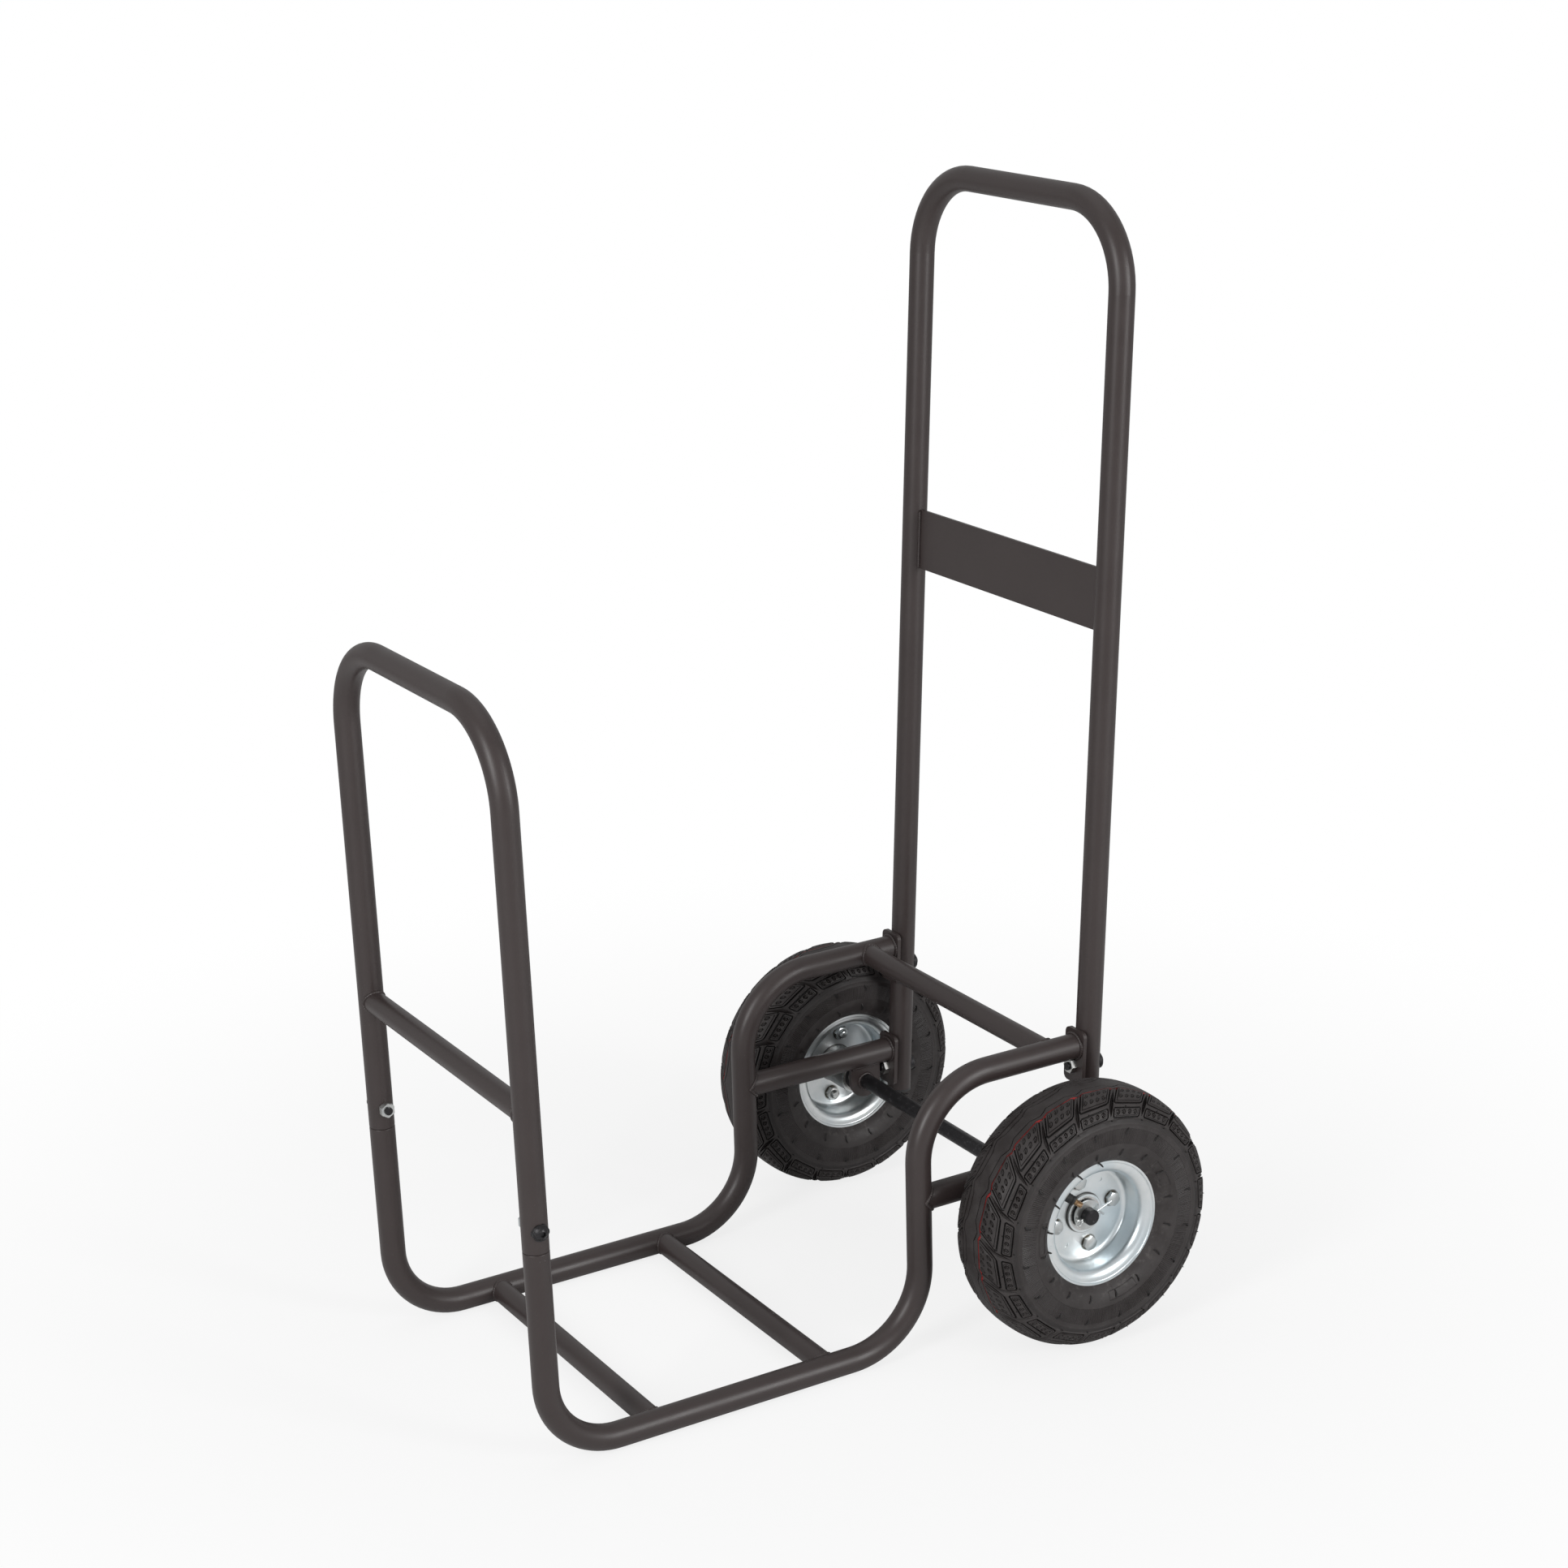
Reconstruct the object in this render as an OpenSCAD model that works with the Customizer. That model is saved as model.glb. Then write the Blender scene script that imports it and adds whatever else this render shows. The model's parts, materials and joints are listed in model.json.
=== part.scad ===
// Fireside log cart: a bent tube frame with a front hoop and a leaning push handle,
// standing on two floor runs at the front and on two pneumatic wheels at the back.
// X runs along the axle, Y from the hoop to the handle, Z up.
// The origin is on the floor, under the middle of the cart.

/* [Tubes] */
// Outside diameter of the hoop, handle and side tubes
tube_d = 25; // [22:0.5:30]
// Outside diameter of the crossbars
crossbar_d = 22; // [16:0.5:22]
// Wall of every tube
tube_wall = 1.5; // [1:0.1:2]
// Distance between the centre lines of the left and right tubes
frame_w = 331; // [270:1:420]

/* [Front hoop] */
// Height of the top bar's centre line, measured along the leaning legs
hoop_h = 716; // [520:1:900]
// Lean of the hoop, in degrees away from the wheels
hoop_lean = 0.88; // [0:0.01:4]
// Bend radius of the two upper corners
hoop_corner_r = 82; // [60:1:110]
// Height of the crossbar, along the legs
hoop_crossbar_s = 354; // [300:1:440]
// Height of the seam between the hoop and the side rails, along the legs
hoop_seam_s = 221; // [180:1:260]
// Height of the through bolts over the seam
hoop_bolt_rise = 22; // [16:1:30]
// Length of the inner sleeve on each side of the seam
spigot_reach = 45; // [35:1:60]

/* [Handle] */
// Height of the handle bar's centre line, measured along the leaning uprights
handle_h = 1090; // [850:1:1320]
// Lean of the handle, in degrees away from the hoop
handle_lean = 2.85; // [0:0.05:8]
// Distance on the floor from the hoop's line to the handle's line
base_l = 593; // [560:1:720]
// Bend radius of the two upper corners
handle_corner_r = 80; // [60:1:110]
// How far the uprights reach below the lower flanges
handle_foot_reach = 8; // [4:1:30]
// Height of the plate's middle, along the uprights
plate_s = 719.5; // [620:0.5:820]
// Height of the plate
plate_h = 61; // [40:1:90]
// Thickness of the plate
plate_t = 3; // [2:0.5:5]

/* [Side rails] */
// Bend radius from the front leg to the floor run
front_bend_r = 72; // [60:1:90]
// Bend radius at the foot and the top of the riser
riser_bend_r = 79; // [60:1:90]
// Distance of the riser behind the hoop's line
riser_y = 406; // [360:1:420]
// Height of the shelf bars over the lower braces
shelf_rise = 115.5; // [95:0.5:180]
// Places of the two floor crossbars behind the hoop's line
base_crossbar_y = [110, 300];
// Distance of the shelf crossbar in front of the handle's line
shelf_crossbar_back = 33; // [25:1:60]

/* [Rear joint] */
// How far the bolting flanges stand out past the tube on each side
flange_edge = 2.5; // [0:0.5:8]
// Height of the bolting flanges
flange_h = 55; // [50:1:60]
// Thickness of the bolting flanges
flange_t = 4; // [3:0.5:6]
// Room between each nut and the tube above it
flange_nut_room = 1; // [0.5:0.5:4]

/* [Wheels] */
// Outside diameter of the tyre
tyre_d = 264; // [240:1:318]
// Width of the tyre
tyre_w = 85; // [78:1:102]
// Gap between the tyre and the frame tubes
tyre_gap = 6; // [4:0.5:12]
// Number of tread blocks around each row
tread_count = 19; // [14:1:24]
// Angle of the first tread bar, measured from straight ahead of the axle
tread_start = 1.9; // [0:0.1:25]
// Depth of the tread grooves
tread_depth = 2.5; // [1:0.5:4]
// Width of the tread grooves
tread_groove_w = 1.4; // [1:0.1:3]
// Width of the plain bars between the blocks
tread_bar_w = 7.5; // [4:0.5:12]
// Diameter of the rim where the bead sits
rim_seat_d = 105; // [96:1:112]
// Width of the rim between its flanges
rim_w = 58; // [54:1:62]
// Sheet thickness of the rim
rim_t = 2; // [1.5:0.1:2.5]
// Wall of the hub around the bearings
hub_wall = 2.3; // [1.5:0.1:4]
// How far the hub stands out past the wheel's middle plane
hub_out = 5.3; // [3:0.1:12]
// Number of bolts that clamp the rim halves
rim_bolt_count = 4; // [3:1:5]
// Place of the rim bolts across the disc's flat ring, from the hub at 0 to the corner at 1
rim_bolt_place = 0.58; // [0.4:0.01:0.62]

/* [Axle] */
// Diameter of the axle
axle_d = 16; // [13:0.5:20]
// Distance of the axle in front of the handle's tubes
axle_ahead = 25.5; // [24:0.5:50]
// Height of the lower braces over the axle
brace_rise = 29; // [27:1:60]
// Thickness of the axle brackets
bracket_t = 5; // [4:0.5:8]
// Diameter of the bearings
bearing_d = 35; // [30:0.5:42]
// Width of each bearing
bearing_w = 11; // [9:0.5:12]

/* [Fasteners] */
// Diameter of the frame and rim bolts
bolt_d = 8; // [6:1:8]
// Wire diameter of the cotter pins
pin_d = 1.8; // [1.5:0.1:2.2]

/* [Clearances] */
// Gap that a weld bridges between two coped pieces
weld_gap = 0.05; // [0.02:0.01:0.2]
// The same where the brace meets a riser that is as wide as itself
brace_gap = 0.2; // [0.1:0.05:0.3]
// Radial clearance of the bearings on the axle
running_gap = 0.03; // [0.01:0.01:0.08]
// Clearance of every bolt in its hole, on the radius
bolt_gap = 0.15; // [0.1:0.05:0.5]
// Gap between pieces that turn against each other
turning_gap = 0.3; // [0.3:0.1:1]
// Gap between the tyre, the inner tube and the rim
seat_gap = 0.2; // [0.1:0.05:0.4]

/* [Hidden] */
$fn = 96;

LEFT = -1;
RIGHT = 1;
BLACK = [0.25, 0.23, 0.23];
ZINC = [0.74, 0.77, 0.80];
RUBBER = [0.12, 0.12, 0.12];
BRASS = [0.78, 0.62, 0.30];

// Frame
tube_r = tube_d / 2;
crossbar_r = crossbar_d / 2;
side_x = frame_w / 2;
cope_r = tube_r + weld_gap;
edge_r = tube_wall * 0.8;
punch_r = 2.4;
punch_depth = 0.6;
punch_drop = 5.5;
punch_apart = 5;
over = 20;

// Front bend: the floor run is level and the leg leans, so the bend's centre is where both are
// one bend radius away
front_bend_z = tube_r + front_bend_r;
front_bend_y = (front_bend_r - front_bend_z * sin(hoop_lean)) / cos(hoop_lean);
front_bend_s = front_bend_z * cos(hoop_lean) - front_bend_y * sin(hoop_lean);

// Wheel and axle
axle_z = tyre_d / 2;
axle_y = base_l - tube_r - axle_ahead;
brace_z = axle_z + brace_rise;
shelf_z = brace_z + shelf_rise;
wheel_x = side_x + tube_r + tyre_gap + tyre_w / 2;
hub_stand_off = 2.5;
hub_in = wheel_x - side_x - tube_r - hub_stand_off;
bearing_r = bearing_d / 2;
hub_d = bearing_d + 2 * hub_wall;
washer_t = 2;
// How far the bearings' inner races stand out, so that washer and spacer touch nothing else
race_out = 2.2;
washer_d = axle_d + 14;
washer_x = wheel_x + hub_out + race_out + turning_gap;
pin_from_washer = 3.7;
axle_end_margin = 5;
pin_x = washer_x + washer_t + pin_from_washer;
axle_l = 2 * (pin_x + axle_end_margin);
axle_chamfer = 1;
pin_hole_d = 2 * pin_d + 0.4;
pin_angle = 16;
pin_leg_gap = 0.1;
pin_neck = 54;
pin_neck_r = 2;
pin_bend_r = 4;
pin_clear = 2;
pin_open = 4;
pin_splay = 50;
pin_long_leg = 18;
pin_short_leg = 5;
bracket_end_r = axle_d / 2 + 10;
spacer_d = axle_d + 6;

// Rear joint, in the handle's leaning frame
flange_back = -tube_r - weld_gap;
flange_front = flange_back - flange_t;
flange_corner_r = 6;
flange_w = tube_d + 2 * flange_edge;
flange_top_rise = tube_r + 4.5;
function along_handle(z) = (z + flange_front * sin(handle_lean)) / cos(handle_lean);
shelf_s = along_handle(shelf_z);
brace_s = along_handle(brace_z);
handle_foot_s = brace_s + flange_top_rise - flange_h - handle_foot_reach;

// Overall box, which sets the origin
front_y = -(hoop_h * sin(hoop_lean) + tube_r);
back_y = max(axle_y + tyre_d / 2, base_l + handle_h * sin(handle_lean) + tube_r);
mid_y = (front_y + back_y) / 2;

// Fasteners
head_d = 1.75 * bolt_d;
head_h = 0.55 * bolt_d;
socket_af = 0.625 * bolt_d;
socket_depth = 0.32 * bolt_d;
nut_af = 1.625 * bolt_d;
nut_h = 0.8 * bolt_d;
flange_bolt_drop = tube_r + nut_af / 2 + flange_nut_room;
hex_h = 0.66 * bolt_d;
saddle_t = 1.2;
saddle_d = 2.1 * bolt_d;
thread_end = 4;

// Wheel, in its own frame: Z outwards along the axle, X to the handle, Y up
rim_seat_r = rim_seat_d / 2;
rim_half_w = rim_w / 2;
corner_r = 6.5;
flange_arc_r = 7.5;
lip_r = 2.3;
lip_u = rim_half_w + rim_t / 2 + lip_r;
barrel_r = rim_seat_r - rim_t / 2;
corner_c = [corner_r + rim_t / 2, barrel_r - corner_r];
flange_c = [rim_half_w + rim_t / 2 - flange_arc_r, barrel_r + flange_arc_r];
lip_c = [lip_u, flange_c[1] + 2];
rim_top_r = lip_c[1] + lip_r + rim_t / 2;
rim_bolt_r = hub_d / 2 + rim_bolt_place * (corner_c[1] - hub_d / 2);
rim_bolt_angle = 10.5;
dimple_r = rim_bolt_r + 1.5;
dimple_d = 5;
dimple_depth = 0.8;
dimple_angles = [55.5, 235.5];

// Tyre section: superellipse arcs over the crown and down the sidewalls to the rim's lip
tyre_r = tyre_d / 2;
tyre_half_w = tyre_w / 2;
sidewall_r = rim_top_r + 0.44 * (tyre_r - rim_top_r);
section_power = 0.75;
sidewall_t = 4.5;
crown_t = 8;
bead_w = 9;
bead_steps = 6;
arc_steps = 9;
lip_point = [lip_u + 0.7, rim_top_r + 0.6];
cavity_half_w = tyre_half_w - sidewall_t;
bead_top = [rim_half_w - 2, rim_top_r + 5];
// Where the ring grooves lie across half the tread, and where the blocks end
tread_rings = [0.32, 0.815, 0.885];
tread_edge = 0.96;
// How far each row's bars lag behind at their outer end, in degrees
row_lag = [7.8, 2.6];

// Valve: leaves the rim's barrel, passes the hub a little to one side and leans outwards
valve_angle = 136.1;
valve_u = 12;
valve_swing = 5;
valve_lean = 40;
valve_root_d = 9.2;
valve_neck_d = 7.6;
valve_stem_l = 19.6;
valve_tip_d = 6.4;
valve_tip_l = 8;
valve_foot_l = 6;
valve_start_r = rim_seat_r + seat_gap;

// ---------------------------------------------------------------- shared shapes

// The whole cart is drawn with the hoop's floor line at Y = 0, then centred
module centred() {
    translate([0, -mid_y, 0]) children();
}

module hoop_frame() {
    centred() rotate([hoop_lean, 0, 0]) children();
}

module handle_frame() {
    centred() translate([0, base_l, 0]) rotate([-handle_lean, 0, 0]) children();
}

// Solid bar that follows straights and bends: each step is [straight length, bend angle, bend
// radius]; it starts along +Z, and a positive angle bends it towards +Y
module bent_run(steps, d, i = 0) {
    run = steps[i][0];
    bend = abs(steps[i][1]);
    bend_r = steps[i][2];
    turn = steps[i][1] < 0 ? 180 : 0;
    if (run > 0)
        cylinder(d = d, h = run);
    if (bend > 0)
        translate([0, 0, run]) rotate([0, 0, turn]) {
            translate([0, bend_r, 0])
                rotate([90, 0, -90])
                rotate_extrude(angle = bend)
                translate([bend_r, 0])
                circle(d = d);
            if (i + 1 < len(steps))
                translate([0, bend_r, 0])
                    rotate([-bend, 0, 0])
                    translate([0, -bend_r, 0])
                    rotate([0, 0, -turn])
                    bent_run(steps, d, i + 1);
        }
}

// Bent tube: the same run with its bore, which runs out past both ends
module bent_tube(steps, d) {
    last = len(steps) - 1;
    bore_steps = [for (i = [0 : last]) [
        steps[i][0] + (i == 0 ? over : 0) + (i == last ? over : 0), steps[i][1], steps[i][2]]];
    difference() {
        bent_run(steps, d);
        translate([0, 0, -over]) bent_run(bore_steps, d - 2 * tube_wall);
    }
}

module straight_tube(d, h) {
    difference() {
        cylinder(d = d, h = h);
        translate([0, 0, -over]) cylinder(d = d - 2 * tube_wall, h = h + 2 * over);
    }
}

module x_tube(d, l) {
    translate([-l / 2, 0, 0]) rotate([0, 90, 0]) straight_tube(d, l);
}

// What rounds the outer edge of a tube's end: the end is at Z = 0 and the tube is above it
module end_rounding(d) {
    rotate_extrude() difference() {
        translate([d / 2 - edge_r, -1]) square([edge_r + 1, edge_r + 1]);
        translate([d / 2 - edge_r, edge_r]) circle(r = edge_r, $fn = 32);
    }
}

module both_sides() {
    for (side = [LEFT, RIGHT]) translate([side * side_x, 0, 0]) children();
}

// U of tube in the XZ plane, with both legs starting at Z = foot
module u_tube(top, foot, corner) {
    leg = top - corner - foot;
    translate([side_x, 0, foot])
        rotate([0, 0, 90])
        bent_tube([[leg, 90, corner], [frame_w - 2 * corner, 90, corner], [leg, 0, 0]], tube_d);
}

// Upright cylinders where the two legs of a U stand
module legs(r, h) {
    both_sides() translate([0, 0, -over]) cylinder(r = r, h = h + over);
}

// Sheet outline with round corners, centred
module rounded_rect(w, h, r) {
    square([w - 2 * r, h], center = true);
    square([w, h - 2 * r], center = true);
    for (x = [-1, 1], y = [-1, 1])
        translate([x * (w / 2 - r), y * (h / 2 - r)]) circle(r = r, $fn = 48);
}

function hex_d(af) = af / cos(30);

// Dome headed socket bolt: the head's seat is at Z = 0, the shank runs down
module dome_bolt(shank) {
    dome_r = (head_h * head_h + head_d * head_d / 4) / (2 * head_h);
    difference() {
        union() {
            intersection() {
                translate([0, 0, head_h - dome_r]) sphere(r = dome_r);
                cylinder(d = head_d, h = head_h);
            }
            translate([0, 0, -shank]) cylinder(d = bolt_d, h = shank + 0.5);
        }
        translate([0, 0, head_h - socket_depth]) cylinder(d = hex_d(socket_af), h = head_h, $fn = 6);
    }
}

// Hexagon headed bolt: the head's seat is at Z = 0, the shank runs down
module hex_bolt(shank) {
    cylinder(d = hex_d(nut_af), h = hex_h, $fn = 6);
    translate([0, 0, -shank]) cylinder(d = bolt_d, h = shank + 0.5);
}

// Nut on the side Z > 0 of its seat
module nut() {
    difference() {
        cylinder(d = hex_d(nut_af), h = nut_h, $fn = 6);
        translate([0, 0, -1]) cylinder(r = bolt_d / 2 + bolt_gap, h = nut_h + 2);
    }
}

// Saddle washer that stands on a tube along Y: its flat face is at Z = tube_r + saddle_t
module saddle_washer(sides) {
    difference() {
        intersection() {
            cylinder(d = saddle_d, h = tube_r + saddle_t);
            cylinder(d = hex_d(saddle_d) * 0.94, h = tube_r + saddle_t, $fn = sides);
        }
        cylinder(r = bolt_d / 2 + bolt_gap, h = tube_d);
        rotate([90, 0, 0]) cylinder(r = cope_r, h = tube_d, center = true);
    }
}

// ---------------------------------------------------------------- front hoop

module hoop_bolt_places() {
    hoop_frame() for (side = [LEFT, RIGHT])
        translate([side * side_x, 0, hoop_seam_s + hoop_bolt_rise]) rotate([0, side * 90, 0]) children();
}

module bolt_hole(l) {
    cylinder(r = bolt_d / 2 + bolt_gap, h = l, center = true);
}

module front_hoop() {
    color(BLACK) difference() {
        hoop_frame() u_tube(hoop_h, hoop_seam_s + weld_gap, hoop_corner_r);
        hoop_frame() both_sides() translate([0, 0, hoop_seam_s + weld_gap]) end_rounding(tube_d);
        hoop_bolt_places() bolt_hole(tube_d + 4);
    }
}

module front_crossbar() {
    color(BLACK) hoop_frame() difference() {
        translate([0, 0, hoop_crossbar_s]) x_tube(crossbar_d, frame_w);
        legs(cope_r, hoop_h);
    }
}

module hoop_spigots() {
    spigot_d = tube_d - 2 * tube_wall - 2 * bolt_gap;
    color(ZINC) difference() {
        hoop_frame() both_sides() translate([0, 0, hoop_seam_s - spigot_reach])
            straight_tube(spigot_d, 2 * spigot_reach);
        hoop_bolt_places() bolt_hole(tube_d + 4);
    }
}

module hoop_bolts() {
    color(BLACK) hoop_bolt_places()
        translate([0, 0, tube_r + saddle_t]) dome_bolt(tube_d + saddle_t + nut_h + thread_end / 2);
}

module hoop_washers() {
    color(BLACK) hoop_bolt_places() rotate([0, 0, 90]) saddle_washer(6);
}

module hoop_nuts() {
    color(ZINC) hoop_bolt_places() translate([0, 0, -tube_r - weld_gap]) mirror([0, 0, 1]) nut();
}

// ---------------------------------------------------------------- handle

module handle_bolt_places() {
    handle_frame() both_sides() for (s = [shelf_s, brace_s])
        translate([0, 0, s - flange_bolt_drop]) rotate([-90, 0, 0]) children();
}

module handle_hoop() {
    color(BLACK) difference() {
        handle_frame() u_tube(handle_h, handle_foot_s, handle_corner_r);
        handle_bolt_places() bolt_hole(tube_d + 4);
    }
}

module handle_plate() {
    color(BLACK) handle_frame() difference() {
        translate([0, 0, plate_s]) cube([frame_w, plate_t, plate_h], center = true);
        legs(cope_r, handle_h);
    }
}

module handle_end_plugs() {
    plug_reach = 14;
    plug_rim = 2.5;
    color(RUBBER) handle_frame() both_sides() translate([0, 0, handle_foot_s]) {
        cylinder(r = tube_r - tube_wall - bolt_gap, h = plug_reach);
        translate([0, 0, -plug_rim]) cylinder(d = tube_d, h = plug_rim - weld_gap);
        translate([0, 0, -plug_rim / 2]) cylinder(r = tube_r - 2 * tube_wall, h = plug_rim);
    }
}

module handle_bolts() {
    color(BLACK) handle_bolt_places()
        translate([0, 0, tube_r + saddle_t])
        dome_bolt(tube_d + saddle_t + flange_t + nut_h + thread_end / 2);
}

module handle_washers() {
    color(BLACK) handle_bolt_places() saddle_washer(48);
}

module handle_nuts() {
    color(ZINC) handle_bolt_places() translate([0, 0, flange_front - weld_gap]) mirror([0, 0, 1]) nut();
}

// ---------------------------------------------------------------- side rails

// Everything behind the front face of the bolting flanges
module behind_flanges() {
    handle_frame() translate([-frame_w, flange_front - weld_gap, -over])
        cube([2 * frame_w, 200, handle_h]);
}

module side_rail(side) {
    down = hoop_seam_s - front_bend_s;
    along_floor = riser_y - riser_bend_r - front_bend_y;
    up = shelf_z - tube_r - 2 * riser_bend_r;
    back = base_l - riser_y - riser_bend_r;
    color(BLACK) difference() {
        hoop_frame() translate([side * side_x, 0, hoop_seam_s - weld_gap]) rotate([180, 0, 0])
            bent_tube([[down - weld_gap, hoop_lean - 90, front_bend_r], [along_floor, -90, riser_bend_r],
                       [up, 90, riser_bend_r], [back + over, 0, 0]], tube_d);
        hoop_frame() translate([side * side_x, 0, hoop_seam_s - weld_gap]) mirror([0, 0, 1])
            end_rounding(tube_d);
        punch_marks(side);
        behind_flanges();
    }
}

// Two shallow punch marks beside each other below the seam, on the outer side of the rail
module punch_marks(side) {
    hoop_frame() for (y = [-1, 1])
        translate([side * (side_x + tube_r + punch_r - punch_depth), y * punch_apart / 2,
                   hoop_seam_s - punch_drop])
        sphere(r = punch_r, $fn = 48);
}

module lower_brace(side) {
    color(BLACK) difference() {
        centred() translate([side * side_x, riser_y, brace_z]) rotate([-90, 90, 0])
            straight_tube(tube_d, base_l - riser_y + over);
        centred() translate([side * side_x, riser_y, 0]) rotate([0, 0, -90])
            cylinder(r = tube_r + brace_gap, h = shelf_z);
        behind_flanges();
    }
}

// Tube between two tubes that run along Y at the height z
module floor_crossbar(y, z) {
    color(BLACK) centred() difference() {
        translate([0, y, z]) x_tube(crossbar_d, frame_w);
        both_sides() translate([0, y, z]) rotate([90, 0, 0])
            cylinder(r = cope_r, h = tube_d * 2, center = true);
    }
}

module base_front_crossbar() {
    floor_crossbar(base_crossbar_y[0], tube_r);
}

module base_rear_crossbar() {
    floor_crossbar(base_crossbar_y[1], tube_r);
}

module shelf_crossbar() {
    floor_crossbar(base_l - shelf_crossbar_back, shelf_z);
}

// ---------------------------------------------------------------- rear joint

module bolting_flange(side, s) {
    middle = flange_top_rise - flange_h / 2;
    color(BLACK) difference() {
        handle_frame() translate([side * side_x, flange_back, s + middle]) rotate([90, 0, 0])
            linear_extrude(flange_t) rounded_rect(flange_w, flange_h, flange_corner_r);
        handle_bolt_places() translate([0, 0, -tube_r]) bolt_hole(tube_r);
    }
}

// Bracket outline: round under the axle, straight flanks up to the brace
module bracket_outline() {
    circle(r = bracket_end_r);
    translate([-bracket_end_r, 0]) square([2 * bracket_end_r, brace_rise]);
}

module axle_bracket(side) {
    color(BLACK) difference() {
        centred() translate([side * side_x - bracket_t / 2, axle_y, axle_z]) rotate([90, 0, 90])
            linear_extrude(bracket_t) bracket_outline();
        centred() translate([side * side_x, axle_y, brace_z]) rotate([90, 0, 0])
            cylinder(r = cope_r, h = 4 * bracket_end_r, center = true);
        centred() translate([0, axle_y, axle_z]) rotate([0, 90, 0])
            cylinder(r = axle_d / 2 + weld_gap, h = axle_l, center = true);
    }
}

// ---------------------------------------------------------------- axle

module axle_line() {
    centred() translate([0, axle_y, axle_z]) rotate([0, 90, 0]) children();
}

module pin_places() {
    centred() for (side = [LEFT, RIGHT])
        translate([0, axle_y, axle_z]) rotate([0, 0, side == RIGHT ? 0 : 180])
        translate([pin_x, 0, 0]) rotate([pin_angle, 0, 0]) children();
}

module axle() {
    color(BLACK) difference() {
        axle_line() union() {
            cylinder(d = axle_d, h = axle_l - 2 * axle_chamfer, center = true);
            for (end = [0, 1]) mirror([0, 0, end]) translate([0, 0, axle_l / 2 - axle_chamfer])
                cylinder(d1 = axle_d, d2 = axle_d - 2 * axle_chamfer, h = axle_chamfer);
        }
        pin_places() rotate([90, 0, 0]) cylinder(d = pin_hole_d, h = 2 * axle_d, center = true);
    }
}

module axle_ring(d, from, to) {
    axle_line() for (end = [0, 1]) mirror([0, 0, end]) translate([0, 0, from]) difference() {
        cylinder(d = d, h = to - from);
        translate([0, 0, -1]) cylinder(r = axle_d / 2 + bolt_gap, h = to - from + 2);
    }
}

module axle_spacers() {
    color(ZINC) axle_ring(spacer_d, side_x + bracket_t / 2 + weld_gap, wheel_x - hub_in - race_out - turning_gap);
}

module axle_washers() {
    color(ZINC) axle_ring(washer_d, washer_x, washer_x + washer_t);
}

// Split pin along Y: one wire that comes back from an eye in front of the axle; one leg stays
// nearly straight and the other is bent over
module cotter_pins() {
    leg_z = (pin_d + pin_leg_gap) / 2;
    // the eye's radius that brings the second leg back beside the first
    eye_r = (leg_z + pin_neck_r * (1 - cos(pin_neck))) / cos(pin_neck);
    to_eye = axle_d / 2 + pin_clear;
    through = axle_d / 2 + pin_clear / 2;
    color(ZINC) pin_places() translate([0, 0, leg_z]) {
        rotate([90, 0, 0]) bent_run([
            [to_eye, pin_neck, pin_neck_r],
            [0, -180 - 2 * pin_neck, eye_r],
            [0, pin_neck, pin_neck_r],
            [to_eye + through, pin_splay, pin_bend_r],
            [pin_short_leg, 0, 0]], pin_d, $fn = 32);
        rotate([-90, 0, 0]) bent_run([
            [through, -pin_open, pin_bend_r],
            [pin_long_leg, 0, 0]], pin_d, $fn = 32);
    }
}

// ---------------------------------------------------------------- wheels

// Places a wheel's own frame on the axle; the two wheels are the same piece turned round
module wheel_frame(side) {
    centred() translate([0, axle_y, axle_z]) rotate([0, 0, side == RIGHT ? 0 : 180])
        translate([wheel_x, 0, 0]) rotate([90, 0, 90]) children();
}

function arc(c, r, a0, a1, steps) = [for (i = [0 : steps])
    let (a = a0 + (a1 - a0) * i / steps) [c[0] + r * cos(a), c[1] + r * sin(a)]];
function swapped(points) = [for (p = points) [p[1], p[0]]];
function flipped(points) = [for (i = [len(points) - 1 : -1 : 0]) [-points[i][0], points[i][1]]];

// Points [u, r] of a superellipse quarter from [half_w, mid_r] towards [0, mid_r + rise]
function quarter(half_w, mid_r, rise, a0, a1, steps) = [for (i = [0 : steps])
    let (a = a0 + (a1 - a0) * i / steps)
    [half_w * pow(cos(a), section_power), mid_r + rise * pow(sin(a), section_power)]];

// How far down the lower quarter must reach to pass through the point [u, r]
function drop_angle(half_w, p) = acos(pow(p[0] / half_w, 1 / section_power));
function drop_depth(half_w, mid_r, p) = (mid_r - p[1]) / pow(sin(drop_angle(half_w, p)), section_power);

// One side of a tyre section, from the low end p over the sidewall to the crown
function side_curve(half_w, mid_r, top_r, p) = concat(
    quarter(half_w, mid_r, -drop_depth(half_w, mid_r, p), drop_angle(half_w, p), 0, arc_steps),
    [for (q = quarter(half_w, mid_r, top_r - mid_r, 0, 90, 2 * arc_steps)) if (q[1] > mid_r) q]);

// Outer radius of the tyre at the distance u from its middle plane
function crown_r(u) = sidewall_r + (tyre_r - sidewall_r)
    * pow(1 - pow(abs(u) / tyre_half_w, 2 / section_power), section_power / 2);

// Bead: follows the rim's lip, flange and seat with a small gap, then up the inside
function bead_curve() = concat(
    [[rim_half_w - bead_w, bead_top[1] - 8]],
    [[rim_half_w - bead_w, rim_seat_r + seat_gap]],
    arc(flange_c, flange_arc_r - rim_t / 2 - seat_gap, -90, 0, bead_steps),
    arc(lip_c, lip_r + rim_t / 2 + seat_gap, 180, 90, bead_steps));

module tyre_section() {
    outside = concat(bead_curve(), side_curve(tyre_half_w, sidewall_r, tyre_r, lip_point));
    polygon(swapped(concat(outside, flipped(outside))));
}

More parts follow.
